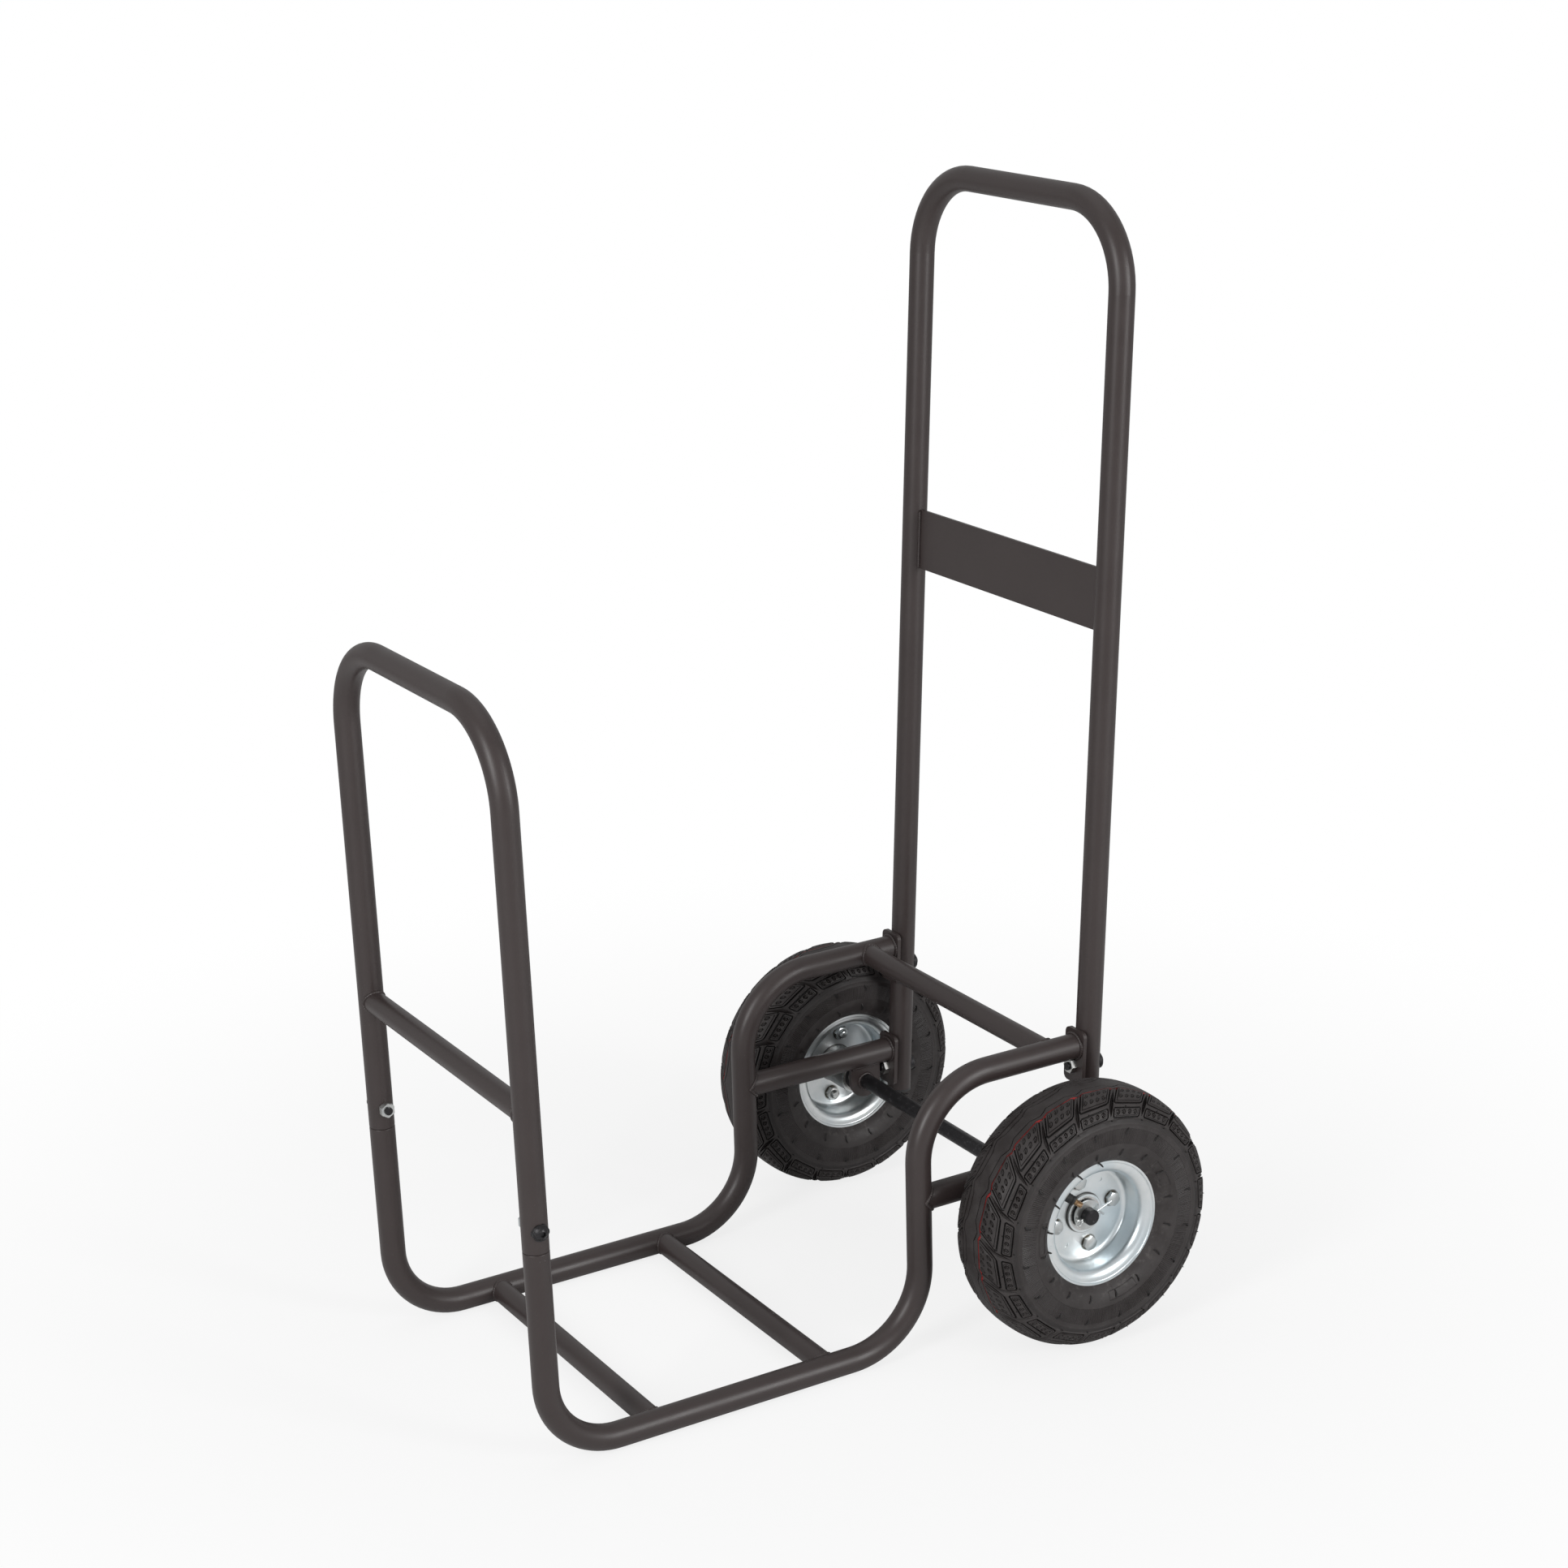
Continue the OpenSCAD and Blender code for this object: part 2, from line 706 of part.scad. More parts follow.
module tyre_cavity() {
    inside = concat([[0, rim_seat_r - 5], [rim_half_w - bead_w + 0.01, rim_seat_r - 5]],
                    [[rim_half_w - bead_w + 0.01, bead_top[1] - 8]],
                    side_curve(cavity_half_w, sidewall_r, tyre_r - crown_t, bead_top));
    polygon(swapped(concat(inside, flipped(inside))));
}

// Ring groove in the tyre's surface, centred on the distance u from the middle plane
module tread_ring(u) {
    u0 = u - tread_groove_w / 2;
    u1 = u + tread_groove_w / 2;
    rotate_extrude() polygon([
        [crown_r(u0) - tread_depth, u0], [crown_r(u1) - tread_depth, u1],
        [tyre_r + 2, u1], [tyre_r + 2, u0]]);
}

// Straight groove in the tyre's surface from the distance u0 at the angle a0 to u1 at a1
module tread_cut(u0, u1, a0, a1) {
    middle_r = (crown_r(u0) + crown_r(u1)) / 2;
    along = norm([u1 - u0, crown_r(u1) - crown_r(u0)]);
    aside = middle_r * (a1 - a0) * PI / 180;
    rotate([0, 0, (a0 + a1) / 2])
        translate([middle_r, 0, (u0 + u1) / 2])
        rotate([0, atan2(crown_r(u1) - crown_r(u0), u1 - u0), 0])
        rotate([-atan2(aside, along), 0, 0])
        cube([2 * tread_depth, tread_groove_w, norm([along, aside])], center = true);
}

// Half of the tread: ring grooves, and two cuts beside each slanted bar in both rows of blocks
module half_tread() {
    u = concat(tyre_half_w * tread_rings, [tyre_half_w * tread_edge]);
    for (i = [0 : 2]) tread_ring(u[i]);
    for (i = [0 : tread_count - 1]) for (edge = [-1, 1]) {
        a = tread_start + i * 360 / tread_count + edge * tread_bar_w / tyre_r * 90 / PI;
        tread_cut(u[0], u[1], a, a + row_lag[0]);
        tread_cut(u[2], u[3], a + row_lag[0], a + row_lag[0] + row_lag[1]);
    }
}

module tyre(side) {
    color(RUBBER) wheel_frame(side) difference() {
        rotate_extrude() difference() {
            tyre_section();
            tyre_cavity();
        }
        half_tread();
        mirror([0, 0, 1]) half_tread();
    }
}

module inner_tube(side) {
    wall = 1.5;
    color(RUBBER) wheel_frame(side) rotate_extrude() difference() {
        tube_section(seat_gap);
        tube_section(seat_gap + wall);
    }
}

// The inner tube's outline at the distance inset inside the tyre's cavity
module tube_section(inset) {
    foot = rim_seat_r + 1.5 + inset;
    half = concat([[0, foot], [rim_half_w - bead_w - inset, foot],
                   [rim_half_w - bead_w - inset, bead_top[1] - 6]],
                  side_curve(cavity_half_w - inset, sidewall_r, tyre_r - crown_t - inset,
                             [bead_top[0] - inset, bead_top[1] + inset]));
    polygon(swapped(concat(half, flipped(half))));
}

// Quarter of bent sheet around the point c, with the middle of the sheet at r; dirs points into
// the quarter that is kept
module sheet_bend(c, r, dirs) {
    translate([c[1], c[0]]) intersection() {
        difference() {
            circle(r = r + rim_t / 2, $fn = 64);
            circle(r = r - rim_t / 2, $fn = 64);
        }
        translate([dirs[1] > 0 ? 0 : -20, dirs[0] > 0 ? 0 : -20]) square(20);
    }
}

// Half of the rim as a section: disc, rounded corner, barrel, flange and rolled lip
module rim_section() {
    disc_from = hub_d / 2 + weld_gap;
    translate([disc_from, 0]) square([corner_c[1] - disc_from, rim_t]);
    sheet_bend(corner_c, corner_r, [-1, 1]);
    translate([barrel_r - rim_t / 2, corner_c[0]]) square([rim_t, flange_c[0] - corner_c[0]]);
    sheet_bend(flange_c, flange_arc_r, [1, -1]);
    translate([flange_c[1], rim_half_w]) square([lip_c[1] - flange_c[1], rim_t]);
    sheet_bend(lip_c, lip_r, [-1, 1]);
}

module rim_bolt_places() {
    for (i = [0 : rim_bolt_count - 1])
        rotate([0, 0, rim_bolt_angle + i * 360 / rim_bolt_count]) translate([rim_bolt_r, 0, 0]) children();
}

// Along the valve: Z runs from the barrel towards the hub
module valve_line() {
    rotate([0, 0, valve_angle]) translate([valve_start_r, 0, valve_u])
        rotate([0, 0, valve_swing]) rotate([0, valve_lean - 90, 0]) children();
}

module rim_half() {
    difference() {
        rotate_extrude() rim_section();
        rim_bolt_places() cylinder(r = bolt_d / 2 + bolt_gap, h = 4 * rim_t, center = true);
    }
}

module outer_rim(side) {
    color(ZINC) wheel_frame(side) difference() {
        rim_half();
        valve_line() cylinder(r = valve_root_d / 2 + seat_gap, h = 4 * valve_foot_l, center = true);
        for (a = dimple_angles) rotate([0, 0, a]) translate([dimple_r, 0, rim_t - dimple_depth])
            cylinder(d = dimple_d, h = rim_t, $fn = 32);
    }
}

module inner_rim(side) {
    color(ZINC) wheel_frame(side) mirror([0, 0, 1]) rim_half();
}

module hub(side) {
    length = hub_out + hub_in;
    color(ZINC) wheel_frame(side) translate([0, 0, -hub_in]) difference() {
        cylinder(d = hub_d, h = length);
        translate([0, 0, -1]) cylinder(d = spacer_d, h = length + 2);
        translate([0, 0, -1]) cylinder(r = bearing_r, h = bearing_w + 1);
        translate([0, 0, length - bearing_w]) cylinder(r = bearing_r, h = bearing_w + 1);
    }
}

// Bearing with its outer face at Z = 0: the seal lies below both races, and the inner race reaches out to the washer
module bearing() {
    recess = 0.6;
    race_t = 2.5;
    difference() {
        union() {
            translate([0, 0, -bearing_w]) cylinder(r = bearing_r - weld_gap, h = bearing_w);
            translate([0, 0, -bearing_w]) cylinder(r = axle_d / 2 + race_t, h = bearing_w + race_out);
        }
        cylinder(r = axle_d / 2 + running_gap, h = 3 * bearing_w, center = true);
        for (z = [-recess, -bearing_w - 1]) translate([0, 0, z]) difference() {
            cylinder(r = bearing_r - race_t, h = recess + 1);
            cylinder(r = axle_d / 2 + race_t, h = 4, center = true);
        }
    }
}

module bearings(side) {
    color(ZINC) wheel_frame(side) {
        translate([0, 0, hub_out]) bearing();
        translate([0, 0, -hub_in]) mirror([0, 0, 1]) bearing();
    }
}

module rim_bolts(side) {
    color(ZINC) wheel_frame(side) rim_bolt_places()
        translate([0, 0, rim_t + weld_gap]) hex_bolt(2 * rim_t + nut_h + thread_end);
}

module rim_nuts(side) {
    color(ZINC) wheel_frame(side) rim_bolt_places()
        translate([0, 0, -rim_t - weld_gap]) mirror([0, 0, 1]) nut();
}

// The rubber body tapers to the tip; its foot is cut to the curve of the inner tube
module valve_stem(side) {
    color(RUBBER) wheel_frame(side) intersection() {
        valve_line() union() {
            cylinder(d1 = valve_root_d, d2 = valve_neck_d, h = valve_stem_l);
            translate([0, 0, -valve_foot_l]) cylinder(d = valve_root_d, h = valve_foot_l);
        }
        cylinder(r = valve_start_r, h = 2 * tyre_half_w);
    }
}

module valve_tip(side) {
    color(BRASS) wheel_frame(side) valve_line() translate([0, 0, valve_stem_l])
        cylinder(d = valve_tip_d, h = valve_tip_l);
}

// ---------------------------------------------------------------- the cart

front_hoop();
front_crossbar();
handle_hoop();
handle_plate();
side_rail(LEFT);  // left_side_rail
side_rail(RIGHT);  // right_side_rail
lower_brace(LEFT);  // left_lower_brace
lower_brace(RIGHT);  // right_lower_brace
base_front_crossbar();
base_rear_crossbar();
shelf_crossbar();
bolting_flange(LEFT, shelf_s);  // left_upper_flange
bolting_flange(RIGHT, shelf_s);  // right_upper_flange
bolting_flange(LEFT, brace_s);  // left_lower_flange
bolting_flange(RIGHT, brace_s);  // right_lower_flange
axle_bracket(LEFT);  // left_axle_bracket
axle_bracket(RIGHT);  // right_axle_bracket
hoop_spigots();
hoop_bolts();
hoop_washers();
hoop_nuts();
handle_bolts();
handle_washers();
handle_nuts();
handle_end_plugs();
axle();
axle_spacers();
axle_washers();
cotter_pins();
tyre(LEFT);  // left_tyre
inner_tube(LEFT);  // left_inner_tube
outer_rim(LEFT);  // left_outer_rim
inner_rim(LEFT);  // left_inner_rim
hub(LEFT);  // left_hub
bearings(LEFT);  // left_bearings
rim_bolts(LEFT);  // left_rim_bolts
rim_nuts(LEFT);  // left_rim_nuts
valve_stem(LEFT);  // left_valve_stem
valve_tip(LEFT);  // left_valve_tip
tyre(RIGHT);  // right_tyre
inner_tube(RIGHT);  // right_inner_tube
outer_rim(RIGHT);  // right_outer_rim
inner_rim(RIGHT);  // right_inner_rim
hub(RIGHT);  // right_hub
bearings(RIGHT);  // right_bearings
rim_bolts(RIGHT);  // right_rim_bolts
rim_nuts(RIGHT);  // right_rim_nuts
valve_stem(RIGHT);  // right_valve_stem
valve_tip(RIGHT);  // right_valve_tip
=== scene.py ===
import json
import math

import bmesh
import bpy
import numpy as np
from mathutils import Matrix, Vector
from mathutils.geometry import delaunay_2d_cdt

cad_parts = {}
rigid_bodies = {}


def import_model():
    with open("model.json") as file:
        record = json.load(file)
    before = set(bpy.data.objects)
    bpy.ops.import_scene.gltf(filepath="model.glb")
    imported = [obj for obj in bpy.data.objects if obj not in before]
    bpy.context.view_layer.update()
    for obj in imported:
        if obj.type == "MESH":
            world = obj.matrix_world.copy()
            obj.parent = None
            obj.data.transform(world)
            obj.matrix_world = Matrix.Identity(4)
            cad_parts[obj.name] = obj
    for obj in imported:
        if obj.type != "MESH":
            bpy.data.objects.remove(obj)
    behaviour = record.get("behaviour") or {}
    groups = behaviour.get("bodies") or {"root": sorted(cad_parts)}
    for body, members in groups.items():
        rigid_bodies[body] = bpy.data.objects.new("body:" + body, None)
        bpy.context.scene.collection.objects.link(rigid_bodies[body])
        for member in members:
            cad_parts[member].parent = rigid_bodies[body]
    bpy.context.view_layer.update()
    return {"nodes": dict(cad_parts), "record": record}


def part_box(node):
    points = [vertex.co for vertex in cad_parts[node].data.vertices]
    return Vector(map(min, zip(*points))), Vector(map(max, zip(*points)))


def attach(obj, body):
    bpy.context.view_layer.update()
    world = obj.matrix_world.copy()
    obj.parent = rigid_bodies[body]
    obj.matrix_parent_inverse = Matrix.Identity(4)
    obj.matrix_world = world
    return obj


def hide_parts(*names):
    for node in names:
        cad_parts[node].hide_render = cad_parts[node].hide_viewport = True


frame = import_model()
NODES = frame["nodes"]
MM = 0.001

# ------ camera

CAMERA_AZIMUTH = math.radians(59.28251)
CAMERA_HEIGHT = math.radians(17.96750)
CAMERA_ROLL = math.radians(-1.60709)
CAMERA_PLACE = Vector((2.524588, -1.465194, 1.497409))
FOCAL_PIXELS = 3955.735
PHOTO_PIXELS = 1932
SENSOR_WIDTH = 36


def in_scene(name, data):
    made = bpy.data.objects.new(name, data)
    bpy.context.scene.collection.objects.link(made)
    return made


def add_camera():
    """The camera of the photograph: placed, turned and zoomed by the fit of the frame's joints."""
    back = Vector((math.sin(CAMERA_AZIMUTH) * math.cos(CAMERA_HEIGHT),
                   -math.cos(CAMERA_AZIMUTH) * math.cos(CAMERA_HEIGHT),
                   math.sin(CAMERA_HEIGHT)))
    right = (-back).cross(Vector((0, 0, 1))).normalized()
    up = right.cross(-back)
    rolled_right = right * math.cos(CAMERA_ROLL) + up * math.sin(CAMERA_ROLL)
    rolled_up = up * math.cos(CAMERA_ROLL) - right * math.sin(CAMERA_ROLL)
    turn = Matrix((rolled_right, rolled_up, back)).transposed().to_4x4()
    data = bpy.data.cameras.new("camera")
    data.sensor_fit = "HORIZONTAL"
    data.sensor_width = SENSOR_WIDTH
    data.lens = FOCAL_PIXELS * SENSOR_WIDTH / PHOTO_PIXELS
    camera = in_scene("camera", data)
    camera.matrix_world = Matrix.Translation(CAMERA_PLACE) @ turn
    bpy.context.scene.camera = camera


# ------ node trees

def sum_on(operation):
    """A method of Value that adds one Math node."""
    return lambda self, other: self.nodes.maths(operation, self, other)


class Value:
    """A number on its way through a tree of nodes."""

    def __init__(self, nodes, socket):
        self.nodes = nodes
        self.socket = socket

    def __rsub__(self, other):
        return self.nodes.maths("SUBTRACT", other, self)

    __add__, __sub__, __mul__ = sum_on("ADD"), sum_on("SUBTRACT"), sum_on("MULTIPLY")
    __truediv__, __pow__ = sum_on("DIVIDE"), sum_on("POWER")


class Nodes:
    """A tree of nodes. node() adds one and hands back its first output, or the one asked for, as a Value."""

    def node(self, kind, settings=None, inputs=None, out=0):
        made = self.tree.nodes.new(kind)
        for name, value in (settings or {}).items():
            setattr(made, name, value)
        for name, value in (inputs or {}).items():
            if isinstance(value, Value):
                self.tree.links.new(value.socket, made.inputs[name])
            else:
                made.inputs[name].default_value = value
        return Value(self, made.outputs[out])

    def maths(self, operation, *inputs):
        return self.node("ShaderNodeMath", {"operation": operation}, dict(enumerate(inputs)))


class Finish(Nodes):
    """The nodes of a material, or of the world."""

    def __init__(self, name, kind=bpy.data.materials):
        self.owner = kind.new(name)
        self.owner.use_nodes = True
        self.tree = self.owner.node_tree
        self.tree.nodes.clear()

    def place(self):
        return self.node("ShaderNodeTexCoord", out="Object")

    def mapped(self, **settings):
        return self.node("ShaderNodeMapping", {}, {"Vector": self.place(), **settings})

    def noise(self, per_metre, detail=3, roughness=0.55, where=None):
        return self.node("ShaderNodeTexNoise", {}, {
            "Vector": where or self.place(), "Scale": per_metre, "Detail": detail, "Roughness": roughness})

    def specks(self, per_metre, core, rim, patches, low, high):
        """Dots that fade from core to rim, only where a coarse noise (patches per metre) is above low."""
        dots = self.node("ShaderNodeTexVoronoi", {"feature": "F1"}, {
            "Vector": self.place(), "Scale": per_metre, "Randomness": 1.0})
        return self.span(dots, core, rim, 1.0, 0.0) * self.span(self.noise(patches, 1), low, high)

    def span(self, value, low, high, to_low=0.0, to_high=1.0):
        """value from low..high to to_low..to_high, smoothly and without running past either end."""
        return self.node("ShaderNodeMapRange", {"interpolation_type": "SMOOTHSTEP"}, {
            "Value": value, "From Min": low, "From Max": high, "To Min": to_low, "To Max": to_high})

    def blend(self, share, first, second):
        """Colour between first (share 0) and second (share 1); each is a colour or the result of blend."""
        first, second = (colour if isinstance(colour, Value) else (*colour, 1) for colour in (first, second))
        # Inputs 6 and 7 and output 2 of this node are its colours.
        return self.node("ShaderNodeMix", {"data_type": "RGBA"}, {0: share, 6: first, 7: second}, out=2)

    def parts(self, vector):
        split = self.tree.nodes.new("ShaderNodeSeparateXYZ")
        self.tree.links.new(vector.socket, split.inputs[0])
        return [Value(self, output) for output in split.outputs]

    def bump(self, height, depth, strength):
        return self.node("ShaderNodeBump", {}, {"Height": height, "Distance": depth, "Strength": strength})

    def surface(self, colour, roughness, normal, metallic=0.0, specular=0.5):
        """Ends the material in one Principled shader."""
        return self.end(self.node("ShaderNodeBsdfPrincipled", {}, {
            "Base Color": colour, "Roughness": roughness, "Metallic": metallic, "Normal": normal,
            "Specular IOR Level": specular}))

    def end(self, shader, kind="ShaderNodeOutputMaterial"):
        self.tree.links.new(shader.socket, self.tree.nodes.new(kind).inputs["Surface"])
        return self.owner


# ------ finishes

# Millimetres and degrees for the rim bolts, metres for the rest.
AXLE_LOW, AXLE_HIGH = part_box("axle")
AXLE_Y, AXLE_Z = (AXLE_LOW.y + AXLE_HIGH.y) / 2, (AXLE_LOW.z + AXLE_HIGH.z) / 2
RIM_BOLT_ANGLE, RIM_BOLT_CIRCLE = 10.5, 34.4
BOLT_HEAD_ACROSS = 13.0
# Painted shade round the rim bolts: it starts at this share of a head's half width and is this many metres wide.
SHADE_RING_FROM, SHADE_RING_WIDTH = 1.10, 0.0024
HUB_LINE_FROM, HUB_LINE_TO = (0.0194, 0.0198), (0.0202, 0.0214)
SEAL_FROM, SEAL_TO = (0.0104, 0.0106), (0.0149, 0.0151)
DUSTY_BELOW, CLEAN_ABOVE = 0.066, 0.084


def distance(first, second):
    """How long the way is that goes first one way and second across it."""
    return (first * first + second * second) ** 0.5


def from_axle(f):
    """Distance of the point that is shaded from the axle's line."""
    _, y, z = f.parts(f.place())
    return distance(y - AXLE_Y, z - AXLE_Z)


def band(f, value, rise, fall):
    """1 between the two edges, 0 outside them."""
    return f.span(value, *rise) * f.span(value, *fall, 1.0, 0.0)


def powder_coat():
    """Charcoal powder coat: a fine orange peel, faint cloudiness and a few specks of dust."""
    f = Finish("black_powder_coat")
    cloud = f.noise(22, 4, 0.6)
    specks = f.specks(260, 0.04, 0.10, 60, 0.52, 0.62)
    colour = f.blend(cloud, (0.032, 0.0235, 0.0225), (0.043, 0.0325, 0.0315))
    colour = f.blend(specks * 0.35, colour, (0.15, 0.14, 0.135))
    roughness = f.span(cloud, 0.3, 0.7, 0.36, 0.43) + specks * 0.15
    return f.surface(colour, roughness, f.bump(f.noise(900, 2, 0.5), 0.00008, 0.5), specular=0.45)


def zinc(name, light, dark, rough_low, rough_high, bolts=False):
    """Bright zinc: broad pale clouds, a thin bluish haze, fine rolling lines and a few dull spots."""
    f = Finish(name)
    mottle = f.noise(38, 5, 0.6)
    haze = f.noise(14, 3, 0.5)
    spots = f.specks(190, 0.05, 0.14, 50, 0.55, 0.65)
    colour = f.blend(f.span(mottle, 0.30, 0.70), light, dark)
    colour = f.blend(f.span(haze, 0.45, 0.70) * 0.45, colour, (0.56, 0.66, 0.72))
    colour = f.blend(spots * 0.35, colour, (0.36, 0.36, 0.35))
    # With bolts, painted shade: a brownish dark ring round each rim bolt and a dark line round the hub.
    if bolts:
        colour = f.blend(bolt_shade(f) * 0.95, colour, (0.10, 0.085, 0.06))
        colour = f.blend(hub_shade(f) * 0.9, colour, (0.10, 0.095, 0.09))
    roughness = f.span(mottle, 0.3, 0.7, rough_low, rough_high) + spots * 0.12
    fine = f.noise(900, 2) + f.noise(1200, 1, 0.5, f.mapped(Scale=(1.0, 0.08, 0.08)))
    return f.surface(colour, roughness, f.bump(fine, 0.00003, 0.25), metallic=1.0)


def bolt_shade(f):
    """Painted shade in a thin ring round each rim bolt, by the place on the disc in the wheel's own frame."""
    x, y, z = f.parts(f.place())
    across, down = (y - AXLE_Y) * f.maths("SIGN", x), z - AXLE_Z
    radius = distance(across, down)
    quarter = math.pi / 2
    turned = f.maths("WRAP", f.maths("ARCTAN2", down, across) - math.radians(RIM_BOLT_ANGLE),
                     quarter / 2, -quarter / 2)
    along = radius * f.maths("COSINE", turned) - RIM_BOLT_CIRCLE * MM
    edge = BOLT_HEAD_ACROSS / 2 * SHADE_RING_FROM * MM
    return f.span(distance(along, radius * f.maths("SINE", turned)), edge, edge + SHADE_RING_WIDTH, 1.0, 0.0)


def hub_shade(f):
    """Painted shade: a dark line where the hub stands out of the disc."""
    return band(f, from_axle(f), HUB_LINE_FROM, HUB_LINE_TO)


def black_oxide():
    """Blackened steel of the screws and the axle, worn a little lighter in patches."""
    f = Finish("black_oxide")
    patches = f.noise(220, 4, 0.6)
    colour = f.blend(f.span(patches, 0.56, 0.72), (0.022, 0.021, 0.023), (0.075, 0.072, 0.075))
    roughness = f.span(patches, 0.3, 0.7, 0.30, 0.46)
    return f.surface(colour, roughness, f.bump(f.noise(1500, 2), 0.00004, 0.4), metallic=0.55)


def rubber(name, colour_low, colour_high, rough_low, rough_high):
    """Moulded black rubber: a fine mould skin with dusty patches.

    Where a piece has the points' values "groove" and "stripe", grooves are darkened with painted shade and the
    stripe is a worn red.
    """
    f = Finish(name)
    dust = f.noise(55, 5, 0.62)
    fleck = f.specks(420, 0.05, 0.12, 90, 0.55, 0.64)
    colour = f.blend(f.span(dust, 0.38, 0.66), colour_low, colour_high)
    colour = f.blend(fleck * 0.4, colour, (0.10, 0.095, 0.092))
    groove, stripe = (f.node("ShaderNodeAttribute", {"attribute_name": value}, out="Fac")
                      for value in ("groove", "stripe"))
    near_rim = f.span(from_axle(f), DUSTY_BELOW, CLEAN_ABOVE, 1.0, 0.0)
    dusty = near_rim * f.span(f.noise(120, 5, 0.7), 0.50, 0.70)
    colour = f.blend(dusty * 0.35, colour, (0.13, 0.12, 0.115))
    # Painted shade: nearly black in grooves, in sunk mould detail and wherever a piece's "groove" value says so.
    colour = f.blend(f.span(groove, 0.35, 0.95) * 0.92, colour, (0.004, 0.003, 0.003))
    kept = f.span(stripe, 0.05, 0.45) * f.span(f.noise(75, 3, 0.6), 0.36, 0.56, 0.2, 1.0)
    colour = f.blend(kept, colour, (0.40, 0.036, 0.036))
    roughness = f.span(dust, 0.35, 0.65, rough_low, rough_high)
    return f.surface(colour, roughness, f.bump(f.noise(1300, 2, 0.5), 0.00007, 0.6), specular=0.45)


def plastic():
    """Black plastic of the end plugs, with the dull skin of a spark eroded mould."""
    f = Finish("black_plastic")
    wash = f.noise(40, 3, 0.5)
    colour = f.blend(wash, (0.018, 0.018, 0.019), (0.030, 0.030, 0.031))
    skin = f.bump(f.noise(1800, 2, 0.6), 0.00006, 0.6)
    return f.surface(colour, f.span(wash, 0.3, 0.7, 0.48, 0.60), skin)


def bearing_steel():
    """Ground steel races round a dark seal: which of them it is follows from the distance to the axle."""
    f = Finish("bearing_steel")
    seal = band(f, from_axle(f), SEAL_FROM, SEAL_TO)
    rings = f.node("ShaderNodeTexWave", {"wave_type": "RINGS", "rings_direction": "X"}, {
        "Vector": f.mapped(Location=(0, -AXLE_Y, -AXLE_Z)), "Scale": 900, "Distortion": 0.4}, out="Fac")
    colour = f.blend(seal, (0.62, 0.61, 0.60), (0.020, 0.020, 0.021))
    roughness = f.span(seal, 0.0, 1.0, 0.24, 0.55) + f.noise(300, 3) * 0.08
    return f.surface(colour, roughness, f.bump(rings, 0.00003, 0.35), metallic=1.0 - seal)


def brass():
    """Turned brass of the valve tip, dulled in its thread."""
    f = Finish("valve_brass")
    dull = f.noise(420, 4, 0.6)
    colour = f.blend(f.span(dull, 0.4, 0.65), (0.52, 0.36, 0.22), (0.26, 0.17, 0.10))
    return f.surface(colour, f.span(dull, 0.3, 0.7, 0.30, 0.50), f.bump(dull, 0.00005, 0.4), metallic=1.0)


FINISHES = {
    "black_powder_coat": powder_coat(),
    "zinc_plate": zinc("zinc_plate", (0.66, 0.66, 0.64), (0.46, 0.46, 0.45), 0.26, 0.38),
    "zinc_rim": zinc("zinc_rim", (0.83, 0.85, 0.85), (0.72, 0.76, 0.77), 0.30, 0.38, bolts=True),
    "black_oxide": black_oxide(),
    "black_plastic": plastic(),
    "tyre_rubber": rubber("tyre_rubber", (0.020, 0.0155, 0.015), (0.034, 0.029, 0.0285), 0.50, 0.66),
    "tube_rubber": rubber("tube_rubber", (0.014, 0.014, 0.015), (0.024, 0.024, 0.024), 0.55, 0.70),
    "bearing_steel": bearing_steel(),
    "valve_brass": brass(),
}


def finish_cad_nodes():
    """Each CAD node keeps its mesh and takes the finish that its record slot names."""
    for part in frame["record"]["subparts"]:
        materials = NODES[part["node"]].data.materials
        materials.clear()
        materials.append(FINISHES[part["material_slot"]])


# ------ repeated pieces

SIDES = ((1, "right"), (-1, "left"))
WHEEL_CENTRE = {side: (side * 0.2265, AXLE_Y, AXLE_Z) for side, _ in SIDES}
JOIN_WITHIN = 0.00001


class Group(Nodes):
    """A Geometry Nodes group with named inputs."""

    def __init__(self, name, inputs):
        self.tree = bpy.data.node_groups.new(name, "GeometryNodeTree")
        self.ids = {}
        for label, kind, value in (("Geometry", "Geometry", None), *inputs, ("Finish", "Material", None)):
            socket = self.tree.interface.new_socket(name=label, in_out="INPUT", socket_type="NodeSocket" + kind)
            if value is not None:
                socket.default_value = value
            self.ids[label] = socket.identifier
        self.tree.interface.new_socket(name="Geometry", in_out="OUTPUT", socket_type="NodeSocketGeometry")
        outputs = self.tree.nodes.new("NodeGroupInput").outputs
        self.given = {label: Value(self, outputs[label]) for label in self.ids}

    def rotation(self, axis, angle):
        euler = self.node("ShaderNodeCombineXYZ", {}, {axis: angle})
        return self.node("FunctionNodeEulerToRotation", {}, {0: euler})

    def end(self, geometry):
        """The group's last two nodes: the finish and the output."""
        finished = self.node("GeometryNodeSetMaterial", {}, {
            "Geometry": geometry, "Material": self.given["Finish"]})
        self.tree.links.new(finished.socket, self.tree.nodes.new("NodeGroupOutput").inputs[0])

    def put_on(self, made, settings):
        """Adds the group to a piece, with each input set by its identifier."""
        modifier = made.modifiers.new(self.tree.name, "NODES")
        modifier.node_group = self.tree
        for name, value in settings.items():
            modifier[self.ids[name]] = value


